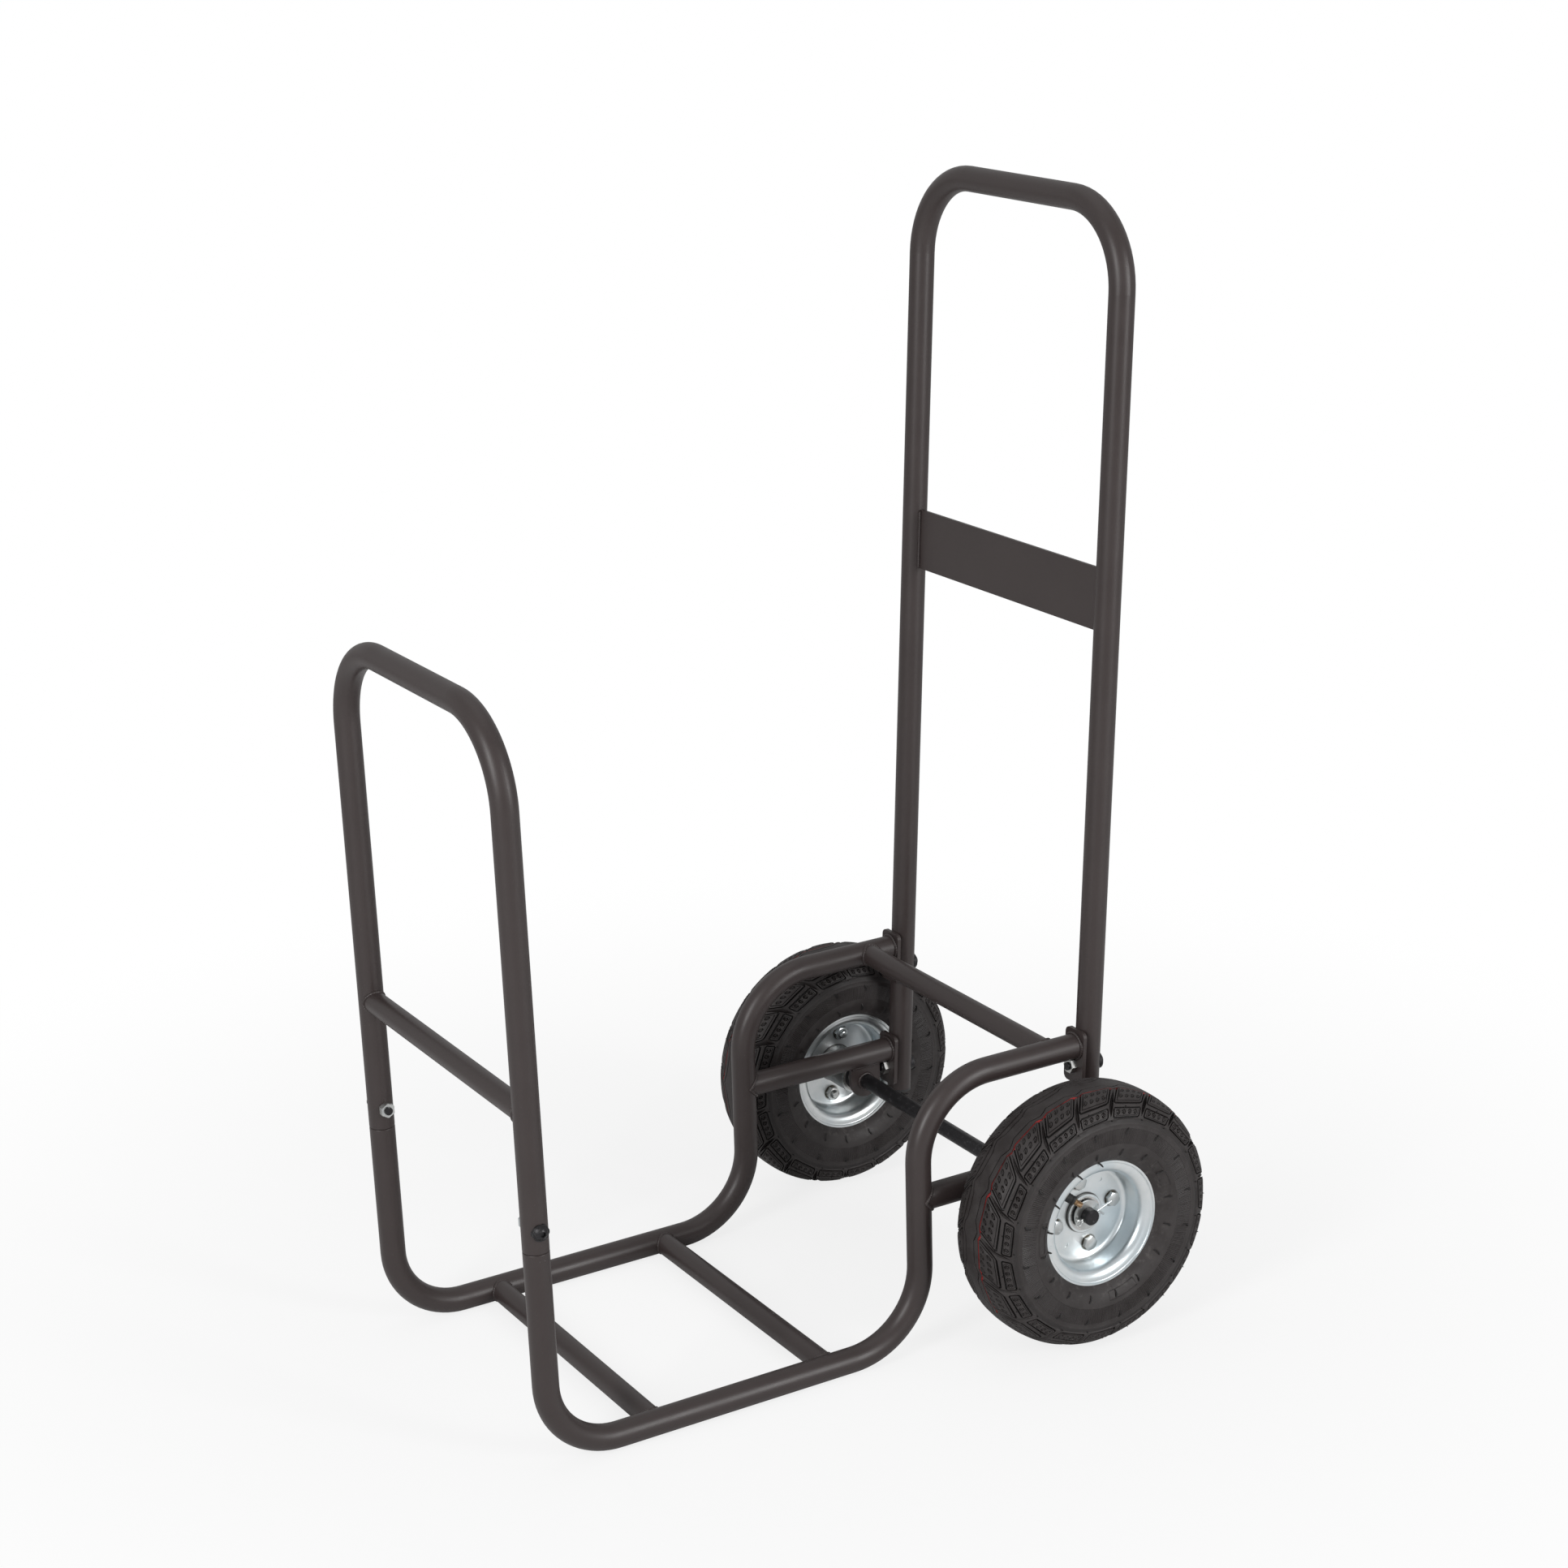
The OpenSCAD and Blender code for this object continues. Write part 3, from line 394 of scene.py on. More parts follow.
def ring_group():
    """Copies of the mesh turned round the X axis, joined into one piece and put in its place."""
    group = Group("ring of copies", (
        ("Count", "Int", 4), ("Start", "Float", 0.0), ("Wander", "Float", 0.0), ("Seed", "Int", 1),
        ("Centre", "Vector", None), ("Turn", "Float", 0.0), ("Join Within", "Float", JOIN_WITHIN)))
    given = group.given
    points = group.node("GeometryNodePoints", {}, {"Count": given["Count"]})
    index = group.node("GeometryNodeInputIndex")
    step = group.maths("DIVIDE", 2 * math.pi, given["Count"])
    # Inputs 2, 3 and 8 of this node are the lowest and highest number and the seed; output 1 is the number.
    wander = group.node("FunctionNodeRandomValue", {"data_type": "FLOAT"}, {
        2: given["Wander"] * -1.0, 3: given["Wander"], 8: given["Seed"]}, out=1)
    angle = group.maths("MULTIPLY_ADD", index, step, given["Start"]) + wander
    copies = group.node("GeometryNodeInstanceOnPoints", {}, {
        "Points": points, "Instance": given["Geometry"], "Rotation": group.rotation("X", angle)})
    real = group.node("GeometryNodeRealizeInstances", {}, {0: copies})
    joined = group.node("GeometryNodeMergeByDistance", {}, {"Geometry": real, "Distance": given["Join Within"]})
    group.end(group.node("GeometryNodeTransform", {}, {
        "Geometry": joined, "Translation": given["Centre"], "Rotation": group.rotation("Z", given["Turn"])}))
    return group


RING = ring_group()


def mesh_object(name, points, faces, edges=()):
    """points in millimetres."""
    mesh = bpy.data.meshes.new(name)
    mesh.from_pydata([[number * MM for number in point] for point in points], edges, faces)
    return in_scene(name, mesh)


def add_line(points, edges, line, closed=False):
    """Adds a line to the points and edges of a drawing."""
    first = len(points)
    points.extend(line)
    edges.extend((first + i, first + i + 1) for i in range(len(line) - 1))
    if closed:
        edges.append((len(points) - 1, first))


def values_on(made, name, values):
    """Gives the points of a piece a value each, which its finish reads by name."""
    made.data.attributes.new(name, "FLOAT", "POINT").data.foreach_set("value", values)


def applied(made, smooth_below):
    """The modifiers of a piece turned into its plain mesh, smooth over edges flatter than so many degrees."""
    bpy.context.view_layer.update()
    result = bpy.data.meshes.new_from_object(made.evaluated_get(bpy.context.evaluated_depsgraph_get()))
    made.modifiers.clear()
    made.data = result
    for face in result.polygons:
        face.use_smooth = True
    result.set_sharp_from_angle(angle=math.radians(smooth_below))
    outward(made)


def outward(made):
    """Turns every face's front outward."""
    shape = bmesh.new()
    shape.from_mesh(made.data)
    bmesh.ops.recalc_face_normals(shape, faces=shape.faces)
    shape.to_mesh(made.data)
    shape.free()


def ring_of(made, finish, side, count, start=0.0, wander=0.0, seed=1, join=JOIN_WITHIN, below=40):
    """Repeats a piece, drawn in the wheel's own frame, round the axle of one wheel."""
    RING.put_on(made, {
        "Count": count, "Start": math.radians(start), "Wander": math.radians(wander), "Seed": seed,
        "Centre": WHEEL_CENTRE[side], "Turn": 0.0 if side > 0 else math.pi, "Join Within": join,
        "Finish": FINISHES[finish]})
    applied(made, below)


# ------ tyre

# Millimetres and degrees. "out" is sideways from the wheel's middle, "along" runs down the profile from the
# middle of the tread to the rim, and "flat" round the wheel on the unrolled tyre.
TYRE_RADIUS, TYRE_HALF_WIDTH = 132.0, 42.5
SIDE_RADIUS, SIDE_POWER = 94.1, 0.75
LIP_POINT = (33.0, 64.9)
CROWN_STEPS, WALL_STEPS = 240, 90
# From the lip round the bead and up the inside to the middle: (out, radius).
INNER_PROFILE = ((31.6, 63.9), (30.3, 60.6), (27.0, 54.6), (20.5, 52.8), (20.0, 61.0), (30.0, 69.0),
                 (36.5, 80.0), (38.0, 94.0), (35.0, 108.0), (27.0, 118.0), (14.0, 123.0), (0.0, 124.0))
PITCHES = 19
TILE = 360 / PITCHES
FLAT_RADIUS = 125.0
TILE_LENGTH = math.radians(TILE) * FLAT_RADIUS
TREAD_START = 1.85
# How far the pattern lags behind: (from along, to along, degrees).
ROW_LAG = ((13.0, 35.0, 7.8), (35.0, 50.0, 2.6))
BAR_FROM, BAR_TO, BAR_WIDTH = 18.0, 47.0, 1.1
BLOCKS_END, STEP_FOOT, STEP_GONE, STEP_DEPTH = 50.2, 51.4, 62.0, 0.9
RIBS, RIB_FROM, RIB_TO = 17, 100.5, 84.5
RIB_DEPTH, RIB_SLOPE = 0.6, 0.6
# Raised rings: (radius, rise).
RAISED, RAISED_HALF_WIDTH = ((104.5, 0.4), (79.0, 0.45), (70.0, 0.5)), 1.1
# Rows of the net between the drawn lines, by their place along the profile and by their radius.
NET_ROWS = (2.4, 4.6, 8.6, 18, 22, 26, 30, 36.7, 41, 44, 46.6, 50.2, 51.4, 54.5, 58)
NET_RADII = (90.0, 82.0, 74.5, 67.5)
NET_ACROSS, NET_SPACE = 12, 1.1
TILE_JOIN = 0.00002


def tyre_profile():
    """Points (along, out, radius) of the tyre's outer surface, from the crown down to the rim."""
    points = []
    for i in range(CROWN_STEPS + 1):
        a = math.radians(90 * (1 - i / CROWN_STEPS))
        points.append((TYRE_HALF_WIDTH * max(math.cos(a), 0) ** SIDE_POWER,
                       SIDE_RADIUS + (TYRE_RADIUS - SIDE_RADIUS) * math.sin(a) ** SIDE_POWER))
    last = math.acos((LIP_POINT[0] / TYRE_HALF_WIDTH) ** (1 / SIDE_POWER))
    drop = (SIDE_RADIUS - LIP_POINT[1]) / math.sin(last) ** SIDE_POWER
    for i in range(1, WALL_STEPS + 1):
        a = last * i / WALL_STEPS
        points.append((TYRE_HALF_WIDTH * math.cos(a) ** SIDE_POWER, SIDE_RADIUS - drop * math.sin(a) ** SIDE_POWER))
    along = np.cumsum([0.0] + [math.dist(a, b) for a, b in zip(points[1:], points)])
    return np.column_stack((along, points))


PROFILE = tyre_profile()
PROFILE_END = float(PROFILE[-1, 0])


def along_at_radius(radius):
    """Distance along the profile at which the sidewall has this radius."""
    return float(np.interp(-radius, -PROFILE[:, 2], PROFILE[:, 0]))


def lag(along):
    """How many degrees the pattern lies behind the middle of the tread."""
    return sum(np.clip((along - start) / (end - start), 0, 1) * degrees for start, end, degrees in ROW_LAG)


def profile_at(along):
    """(out, radius) of the profile."""
    return np.interp(along, PROFILE[:, 0], PROFILE[:, 1]), np.interp(along, PROFILE[:, 0], PROFILE[:, 2])


def on_tyre(flat, along, height, reach=0.8):
    """Point of the wheel's frame for a place on the unrolled tyre, at a height over its surface."""
    u, r = profile_at(along)
    far_u, far_r = profile_at(min(along + reach, PROFILE_END))
    near_u, near_r = profile_at(max(along - reach, 0.0))
    du, dr = far_u - near_u, far_r - near_r
    length = math.hypot(du, dr)
    if along > 0.001:
        u, r = u - dr / length * height, r + du / length * height
    else:
        r += height
    angle = flat / FLAT_RADIUS + math.radians(lag(along))
    return (u, r * math.cos(angle), r * math.sin(angle))


class Groove:
    """A groove along a line of the unrolled tyre: flat bottomed, or a plain V where floor is 0.

    A through groove runs on in the next pitch; half is the only side of it (1 or -1) that lies in this pitch.
    paint says how red the floor is, and shade how much painted shade darkens it.
    """

    def __init__(self, line, width, depth, closed=False, through=False, floor=0.5, paint=0.0, half=None, shade=1.0):
        self.line, self.closed, self.through, self.half = line, closed, through, half
        self.width, self.depth, self.floor = width, depth, floor
        self.paint, self.shade = paint, shade

    def beside(self, offset):
        """The line moved sideways, with its corners mitred."""
        ends, result = (None, None), []
        if self.closed:
            ends = self.line[-1], self.line[0]
        elif self.through:
            (first, before), (last, after) = self.line[-2], self.line[1]
            ends = (first - TILE_LENGTH, before), (last + TILE_LENGTH, after)
        for (x, s), before, after in zip(self.line, (ends[0], *self.line), (*self.line[1:], ends[1])):
            ways = [((b[0] - a[0]) / math.dist(a, b), (b[1] - a[1]) / math.dist(a, b))
                    for a, b in ((before, (x, s)), ((x, s), after)) if a and b]
            sides = [(-w[1], w[0]) for w in ways]
            mitre = (sum(n[0] for n in sides), sum(n[1] for n in sides))
            scale = offset * 2 / (mitre[0] ** 2 + mitre[1] ** 2) if len(sides) == 2 else offset
            result.append((x + mitre[0] * scale, s + mitre[1] * scale))
        return result

    def lines(self):
        """Its two edges, and between them the edges of its floor or the middle of a V."""
        half = self.width / 2
        offsets = (-half, -half * self.floor, half * self.floor, half) if self.floor else (-half, 0, half)
        return [self.beside(offset) for offset in offsets if self.half is None or offset * self.half > 0]

    def share(self, x, s):
        """1 on the groove's floor, 0 outside it."""
        ends = list(zip(self.line, self.line[1:])) + ([(self.line[-1], self.line[0])] if self.closed else [])
        best = 1e9
        for (ax, ay), (bx, by) in ends:
            t = max(0, min(1, ((x - ax) * (bx - ax) + (s - ay) * (by - ay)) / ((bx - ax) ** 2 + (by - ay) ** 2)))
            best = min(best, math.hypot(x - ax - t * (bx - ax), s - ay - t * (by - ay)))
        half = self.width / 2
        return max(0.0, min(1.0, (half - best) / (half - half * self.floor)))


def mirrored(*half):
    """A line that is the same on both sides of the pitch's middle."""
    return [(-x, s) for x, s in reversed(half)] + list(half)


def block_border(x, low, high, corner):
    """Closed line of a block's border, with cut corners."""
    return [(-x + corner, low), (x - corner, low), (x, low + corner), (x, high - corner),
            (x - corner, high), (-x + corner, high), (-x, high - corner), (-x, low + corner)]


def tread_grooves():
    """The grooves of one pitch, from the middle of the tread down to the blocks' ends."""
    end = TILE_LENGTH / 2
    edge = end - 3.75
    grooves = [
        # The line beside the middle rib, then the one with the worn red stripe.
        Groove(mirrored((11, 6.4), (edge - 1, 9.2), (end, 10.8)), 1.1, 1.3, through=True),
        Groove(mirrored((edge - 2.6, 12.9), (edge + 0.6, 14.2), (end, 15.6)), 1.6, 1.8, through=True, paint=1.0),
        # The border of the large block and the fine line inside it.
        Groove(mirrored((edge - 1.8, 34.3), (edge, 32.6), (edge, 14.9)), 1.8, 2.4),
        Groove(mirrored((edge - 2.8, 31.6), (edge - 2.8, 15.8)), 0.8, 0.6),
        # The line between two pitches, half of it at each end.
        Groove([(-end, BAR_FROM), (-end, BAR_TO)], BAR_WIDTH, 0.6, half=-1, shade=0.5),
        Groove([(end, BAR_FROM), (end, BAR_TO)], BAR_WIDTH, 0.6, half=1, shade=0.5),
        # The border of the small block at the shoulder and the fine line inside it.
        Groove(block_border(edge, 39.2, 48.6, 1.2), 1.7, 2.4, closed=True),
        Groove(block_border(edge - 2.6, 41.0, 47.0, 0.8), 0.7, 0.5, closed=True),
    ]
    # Small curled marks in the blocks: (row's place along, spacing, size).
    curl = ((1.5, -1.8), (-0.3, -2.3), (-1.7, -0.9), (-1.4, 1.2), (0.4, 2.0), (1.6, 0.8), (0.5, -0.2))
    for along, spacing, size in ((18.6, 7.0, 1.0), (26.6, 7.0, 1.0), (44.0, 7.4, 0.95)):
        for i in range(4):
            middle = (i - 1.5) * spacing
            grooves.append(Groove([(middle + size * x, along + size * y) for x, y in curl], 1.25, 1.3, floor=0.0))
    return grooves


def sidewall_height(flat, along):
    """Mould detail below the tread: the step at the blocks' ends, fine ribs and raised rings."""
    height = 0.0
    if along > BLOCKS_END:
        height -= STEP_DEPTH * np.interp(along, (BLOCKS_END, STEP_FOOT, STEP_GONE), (0.0, 1.0, 0.0))
    start, end = along_at_radius(RIB_FROM), along_at_radius(RIB_TO)
    if start < along < end:
        phase = (flat / TILE_LENGTH * RIBS) % 1
        slope = min(1, (along - start) / RIB_SLOPE, (end - along) / RIB_SLOPE)
        height += RIB_DEPTH * (abs(2 * phase - 1) - 1) * slope
    for radius, rise in RAISED:
        height += rise * max(0.0, 1 - abs(along - along_at_radius(radius)) / RAISED_HALF_WIDTH)
    return height


def tyre_tile():
    """Half of one pitch of the tyre, unrolled: (points, heights, paint, painted shade down in grooves and sunk
    detail, faces).
    """
    end = TILE_LENGTH / 2
    grooves = tread_grooves()
    verts, edges, edge_levels = [], [], {0.0, PROFILE_END}
    for groove in grooves:
        for line in groove.lines():
            add_line(verts, edges, line, groove.closed)
            if groove.through:
                edge_levels.add(line[0][1])
    ribs_start, ribs_end = along_at_radius(RIB_FROM), along_at_radius(RIB_TO)
    rib_rows = [ribs_start, ribs_start + RIB_SLOPE, ribs_end - RIB_SLOPE, ribs_end]
    for i in range(2 * RIBS + 1):
        add_line(verts, edges, [(-end + TILE_LENGTH * i / (2 * RIBS), row) for row in rib_rows])
    rows = list(NET_ROWS) + [along_at_radius(radius) for radius in NET_RADII]
    for radius, _ in RAISED:
        rows += [along_at_radius(radius) + step * RAISED_HALF_WIDTH for step in (-1, 0, 1)]
    for row in sorted(rows):
        if all(abs(row - level) > 0.5 for level in edge_levels):
            edge_levels.add(row)
        for i in range(1, NET_ACROSS):
            spot = (-end + TILE_LENGTH * i / NET_ACROSS, row)
            if min(math.dist(spot, other) for other in verts) > NET_SPACE:
                verts.append(spot)
    edge_levels.update(rib_rows)
    edge_levels.update((BAR_FROM - BAR_WIDTH / 2, BAR_FROM, BAR_TO, BAR_TO + BAR_WIDTH / 2))
    for x in (-end, end):
        add_line(verts, edges, [(x, level) for level in sorted(edge_levels)])
    for level, across in ((0.0, NET_ACROSS), (PROFILE_END, NET_ACROSS // 2)):
        add_line(verts, edges, [(-end + TILE_LENGTH * i / across, level) for i in range(across + 1)])
    found, _, faces, *_ = delaunay_2d_cdt([Vector(v) for v in verts], edges, [], 0, 0.0005)
    heights, paint, dark = [], [], []
    for x, s in found:
        shares = [(groove.share(x, s), groove) for groove in grooves] if s < BLOCKS_END else []
        wall = sidewall_height(x, s)
        heights.append(min([-share * groove.depth for share, groove in shares] + [0.0]) + wall)
        paint.append(max([share * groove.paint for share, groove in shares] + [0.0]))
        # Painted shade: darker on a groove's floor and in sunk sidewall detail, by how deep it lies.
        dark.append(max([share * groove.shade for share, groove in shares] + [min(0.6, max(0.0, -wall))]))
    return found, heights, paint, dark, faces


def tyre_mesh(name):
    """One pitch of the whole tyre, both halves, drawn in the wheel's frame."""
    found, heights, paint, dark, faces = tyre_tile()
    points, sheet, stripe, painted_shade = [], [], [], []
    for half in (1, -1):
        first = len(points)
        for (x, s), height, coat, shade in zip(found, heights, paint, dark):
            u, y, z = on_tyre(x, s, height)
            points.append((half * u, y, z))
            stripe.append(coat if half > 0 else 0.0)
            painted_shade.append(shade)
        for face in faces:
            sheet.append([first + i for i in (face if half < 0 else reversed(face))])
        first = len(points)
        segments, rings = 6, (LIP_POINT, *INNER_PROFILE)
        for u, r in rings:
            for i in range(segments + 1):
                angle = math.radians(TILE) * (i / segments - 0.5) + math.radians(lag(PROFILE_END))
                points.append((half * u, r * math.cos(angle), r * math.sin(angle)))
                stripe.append(0.0)
                painted_shade.append(0.0)
        for ring in range(len(rings) - 1):
            for i in range(segments):
                a = first + ring * (segments + 1) + i
                quad = [a, a + 1, a + segments + 2, a + segments + 1]
                sheet.append(quad if half > 0 else quad[::-1])
    made = mesh_object(name, points, sheet)
    values_on(made, "stripe", stripe)
    values_on(made, "groove", painted_shade)
    return made


def add_tyres():
    for side, word in SIDES:
        tile = tyre_mesh(word + "_moulded_tyre")
        ring_of(tile, "tyre_rubber", side, PITCHES, TREAD_START + TILE / 2, join=TILE_JOIN, below=32)
        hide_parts(word + "_tyre")
        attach(tile, word + "_wheel")


# ------ tyre details

# A line here is (share of the length, height or place out), and a radius for each of its points.
HAIRS, HAIR_START, HAIR_WANDER, HAIR_SEED = 16, 7.8, 1.1, 5
HAIR_SPANS = ((100.5, 94.0), (79.0, 71.8))
HAIR_LINE = ((0, -0.5), (0.1, 0.6), (0.4, 1.4), (0.75, 1.3), (1, 0.6))
HAIR_RADII, HAIR_BEND, HAIR_CURL = (0.8, 0.8, 0.75, 0.6, 0.35), 1.6, 2.4
STUB_PLACES, STUB_WANDER, STUB_SEED = ((0.0, 38.5), (TILE / 2, 51.5)), 2.5, 8
STUB_HEIGHTS, STUB_RADII = (-0.6, 0.5, 1.3), (0.55, 0.42, 0.2)
# Slivers of flash: (degrees round the rim, the way it points, length).
FLASH = ((95, -47, 8.0), (117, -45, 8.0), (148, -47, 7.0), (172, -25, 7.5), (190, -28, 5.0))
FLASH_RIM = 66.5
FLASH_LINE = ((-0.35, 32.4), (0.0, 34.2), (0.3, 35.3), (0.7, 35.4), (1.0, 34.8))
FLASH_RADII = (0.6, 0.9, 0.9, 0.9, 0.55)
PANELS, PANEL_HALF, PANEL_STEPS = (30, 175, 285), 12, 16
PANEL_LOW, PANEL_HIGH, PANEL_RISE, PANEL_RADIUS = 71.8, 80.2, 0.12, 0.42


def circle(centre, way, radius, steps):
    """Points round a centre, at a right angle to the way."""
    first = way.cross(Vector((1, 0, 0)) if abs(way.x) < 0.8 else Vector((0, 1, 0))).normalized()
    second = way.cross(first)
    turns = [2 * math.pi * k / steps for k in range(steps)]
    return [centre + radius * (math.cos(turn) * first + math.sin(turn) * second) for turn in turns]


def ring_faces(rings, sides, closed=False):
    """Faces from each ring of points to the next, with a lid at both ends or, closed, from the last to the first."""
    faces = []
    for i in range(rings if closed else rings - 1):
        up = ((i + 1) % rings - i) * sides
        for k in range(sides):
            a, b = i * sides + k, i * sides + (k + 1) % sides
            faces.append([a, b, b + up, a + up])
    if not closed:
        faces += [list(range(sides - 1, -1, -1)), list(range((rings - 1) * sides, rings * sides))]
    return faces


def tube_along(line, radii, sides):
    """Closed tube round a line of points, thinning as the radii say: (points, faces)."""
    line = [Vector(spot) for spot in line]
    points = []
    for i, spot in enumerate(line):
        way = (line[min(i + 1, len(line) - 1)] - line[max(i - 1, 0)]).normalized()
        points += circle(spot, way, radii[i], sides)
    return points, ring_faces(len(line), sides)


def gathered(pieces):
    """Several (points, faces) as one."""
    points, faces = [], []
    for more, sheet in pieces:
        faces.extend([len(points) + i for i in face] for face in sheet)
        points.extend(more)
    return points, faces


def both_halves(pieces):
    """Pieces of one half of the tyre and the same on its other half, as one."""
    others = [([(-x, y, z) for x, y, z in points], [face[::-1] for face in faces]) for points, faces in pieces]
    return gathered(pieces + others)


def at_angle(degrees, along, height):
    """Point of the wheel's frame at so many degrees round the wheel, whatever the pattern's lag."""
    flat = (math.radians(degrees) - math.radians(lag(along))) * FLAT_RADIUS
    return on_tyre(flat, along, height)


def vent_hairs():
    """The hairs that the mould's vents leave, bent flat on the sidewall, on both halves."""
    pieces = []
    for start, end in HAIR_SPANS:
        line = []
        for share, height in HAIR_LINE:
            along = along_at_radius(start + (end - start) * share)
            line.append(at_angle(HAIR_BEND * math.sin(HAIR_CURL * share), along, height))
        pieces.append(tube_along(line, HAIR_RADII, 6))
    return both_halves(pieces)


def shoulder_stubs():
    """Cut off stubs of vent hairs on the blocks near the shoulder, on both halves."""
    return both_halves([tube_along([at_angle(degrees, along, height) for height in STUB_HEIGHTS], STUB_RADII, 5)
                        for degrees, along in STUB_PLACES])


def bead_flash():
    """Slivers of rubber squeezed out of the mould, which lie over the rim's flange."""
    pieces = []
    for degrees, way, length in FLASH:
        turn, way = math.radians(degrees), math.radians(way)
        line = [(out, FLASH_RIM * math.cos(turn) + share * length * math.cos(way),
                 FLASH_RIM * math.sin(turn) + share * length * math.sin(way)) for share, out in FLASH_LINE]
        pieces.append(tube_along(line, FLASH_RADII, 6))
    return gathered(pieces)


def raised_panels():
    """Blank raised borders on the sidewall."""
    pieces = []
    for middle in PANELS:
        steps = [PANEL_HALF * (2 * i / PANEL_STEPS - 1) for i in range(PANEL_STEPS + 1)]
        border = [(PANEL_HIGH, middle + step) for step in steps] + [(PANEL_LOW, middle - step) for step in steps]
        line = [at_angle(degrees, along_at_radius(radius), PANEL_RISE) for radius, degrees in border + border[:1]]
        pieces.append(tube_along(line, [PANEL_RADIUS] * len(line), 6))
    return gathered(pieces)


def add_tyre_details():
    """Hairs, stubs, flash and panels; the first three are darkened with the painted shade of a groove's floor."""
    for side, word in SIDES:
        for name, piece, count, start, wander, seed, dark in (
                ("vent_hairs", vent_hairs(), HAIRS, HAIR_START, HAIR_WANDER, HAIR_SEED, 1.0),
                ("shoulder_stubs", shoulder_stubs(), PITCHES, TREAD_START, STUB_WANDER, STUB_SEED, 1.0),
                ("bead_flash", bead_flash(), 1, 0.0, 0.0, 1, 1.0),
                ("raised_panels", raised_panels(), 1, 0.0, 0.0, 1, 0.0)):
            made = mesh_object(word + "_" + name, *piece)
            values_on(made, "groove", [dark] * len(made.data.vertices))
            ring_of(made, "tyre_rubber", side, count, start, wander, seed)
            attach(made, word + "_wheel")


# ------ rim bolts and valves

# Millimetres and degrees: heights run along the wheel's axis for the bolts, and up the valve from the rim.
HEAD_SEAT, HEAD_TOP = 2.05, 7.33
NUT_SEAT, NUT_END = -2.05, -8.45
SHANK_END, SHANK_RADIUS, SHANK_POINT = -12.35, 4.0, 0.8
THREAD_PITCH, THREAD_DEPTH, THREAD_STEPS = 1.25, 0.55, 24
BORE_RADIUS, BORE_BEVEL = 4.15, 0.45
WASHER_FACE, WASHER_HEIGHT = 0.47 * BOLT_HEAD_ACROSS, 0.4
CONE_RADIUS, CONE_SLOPE = 0.94 * BOLT_HEAD_ACROSS / 2, 30
HEX_SIDES, VALVE_SIDES, TIP_SIDES = 36, 56, 32
VALVE_ANGLE = 136.1
VALVE_FOOT_RADIUS, VALVE_FOOT_OUT = 52.7, 12.0
VALVE_SWING, VALVE_LEAN = 5.0, 40.0
VALVE_LENGTH, VALVE_TIP_LENGTH = 19.6, 8.0
GRIP_FROM, GRIP_LENGTH, GRIP_RINGS, GRIP_RIBS, GRIP_DEPTH = 7.1, 10.0, 8, 14, 0.32
TIP_RADIUS, TIP_PITCH, TIP_DEPTH = 3.1, 0.9, 0.45


def stacked(rings, sides, to_wheel, closed=False):
    """Rings of (height, radius), each a number or a function of the turn, joined in turn: (points, faces)."""
    points = []
    for height, radius in rings:
        for k in range(sides):
            turn = 2 * math.pi * k / sides
            up = height(turn) if callable(height) else height
            size = radius(turn) if callable(radius) else radius
            points.append(to_wheel(size * math.cos(turn), size * math.sin(turn), up))
    return points, ring_faces(len(rings), sides, closed)


def threaded(foot, top, radius, pitch, depth):
    """Rings from foot to top that wind once round for every pitch."""
    def winding(height):
        return lambda turn: radius - depth * abs(2 * ((height / pitch - turn / (2 * math.pi)) % 1) - 1)
    heights = [foot + (top - foot) * i / THREAD_STEPS for i in range(THREAD_STEPS + 1)]
    return [(height, winding(height)) for height in heights]


def hexagon(turn):
    return BOLT_HEAD_ACROSS / 2 / math.cos((turn + math.pi / 6) % (math.pi / 3) - math.pi / 6)


def chamfer_drop(turn):
    """How far the cone that cuts a hexagon's corners lies below its end."""
    return max(0.0, hexagon(turn) - CONE_RADIUS) * math.tan(math.radians(CONE_SLOPE))


def hex_rings(seat, end):
    """A washer face on the seat, then a hexagon up to its flat, chamfered end."""
    way = 1 if end > seat else -1
    foot = seat + WASHER_HEIGHT * way
    return [(seat, WASHER_FACE), (foot, WASHER_FACE), (foot, hexagon),
            (lambda turn: end - way * chamfer_drop(turn), hexagon), (end, CONE_RADIUS)]


def beside_bolt(a, b, height):
    """Place in the wheel's frame of a point beside the axis of a rim bolt."""
    return height, RIM_BOLT_CIRCLE + a, b


def rim_bolt():
    """Chamfered hexagon head, a shank through both rim halves and a threaded end."""
    rings = [(SHANK_END, SHANK_RADIUS - SHANK_POINT)]
    rings += threaded(SHANK_END + 0.5, NUT_SEAT, SHANK_RADIUS, THREAD_PITCH, THREAD_DEPTH)
    rings += [(NUT_SEAT + 0.2, SHANK_RADIUS), (HEAD_SEAT, SHANK_RADIUS)]
    return stacked(rings + hex_rings(HEAD_SEAT, HEAD_TOP), HEX_SIDES, beside_bolt)


def rim_nut():
    """Chamfered hexagon round a bore with a bevel at each end."""
    mouth = BORE_RADIUS + BORE_BEVEL
    bore = [(NUT_END, mouth), (NUT_END + BORE_BEVEL, BORE_RADIUS),
            (NUT_SEAT - BORE_BEVEL, BORE_RADIUS), (NUT_SEAT, mouth)]
    return stacked(hex_rings(NUT_SEAT, NUT_END) + bore, HEX_SIDES, beside_bolt, closed=True)


def valve_frame(a, b, height):
    """Place in the wheel's frame of a point beside the valve's axis, height up from the barrel."""
    lean, swing = math.radians(VALVE_LEAN - 90), math.radians(VALVE_SWING)
    x = a * math.cos(lean) + height * math.sin(lean)
    return (VALVE_FOOT_OUT - a * math.sin(lean) + height * math.cos(lean),
            VALVE_FOOT_RADIUS + x * math.cos(swing) - b * math.sin(swing), x * math.sin(swing) + b * math.cos(swing))


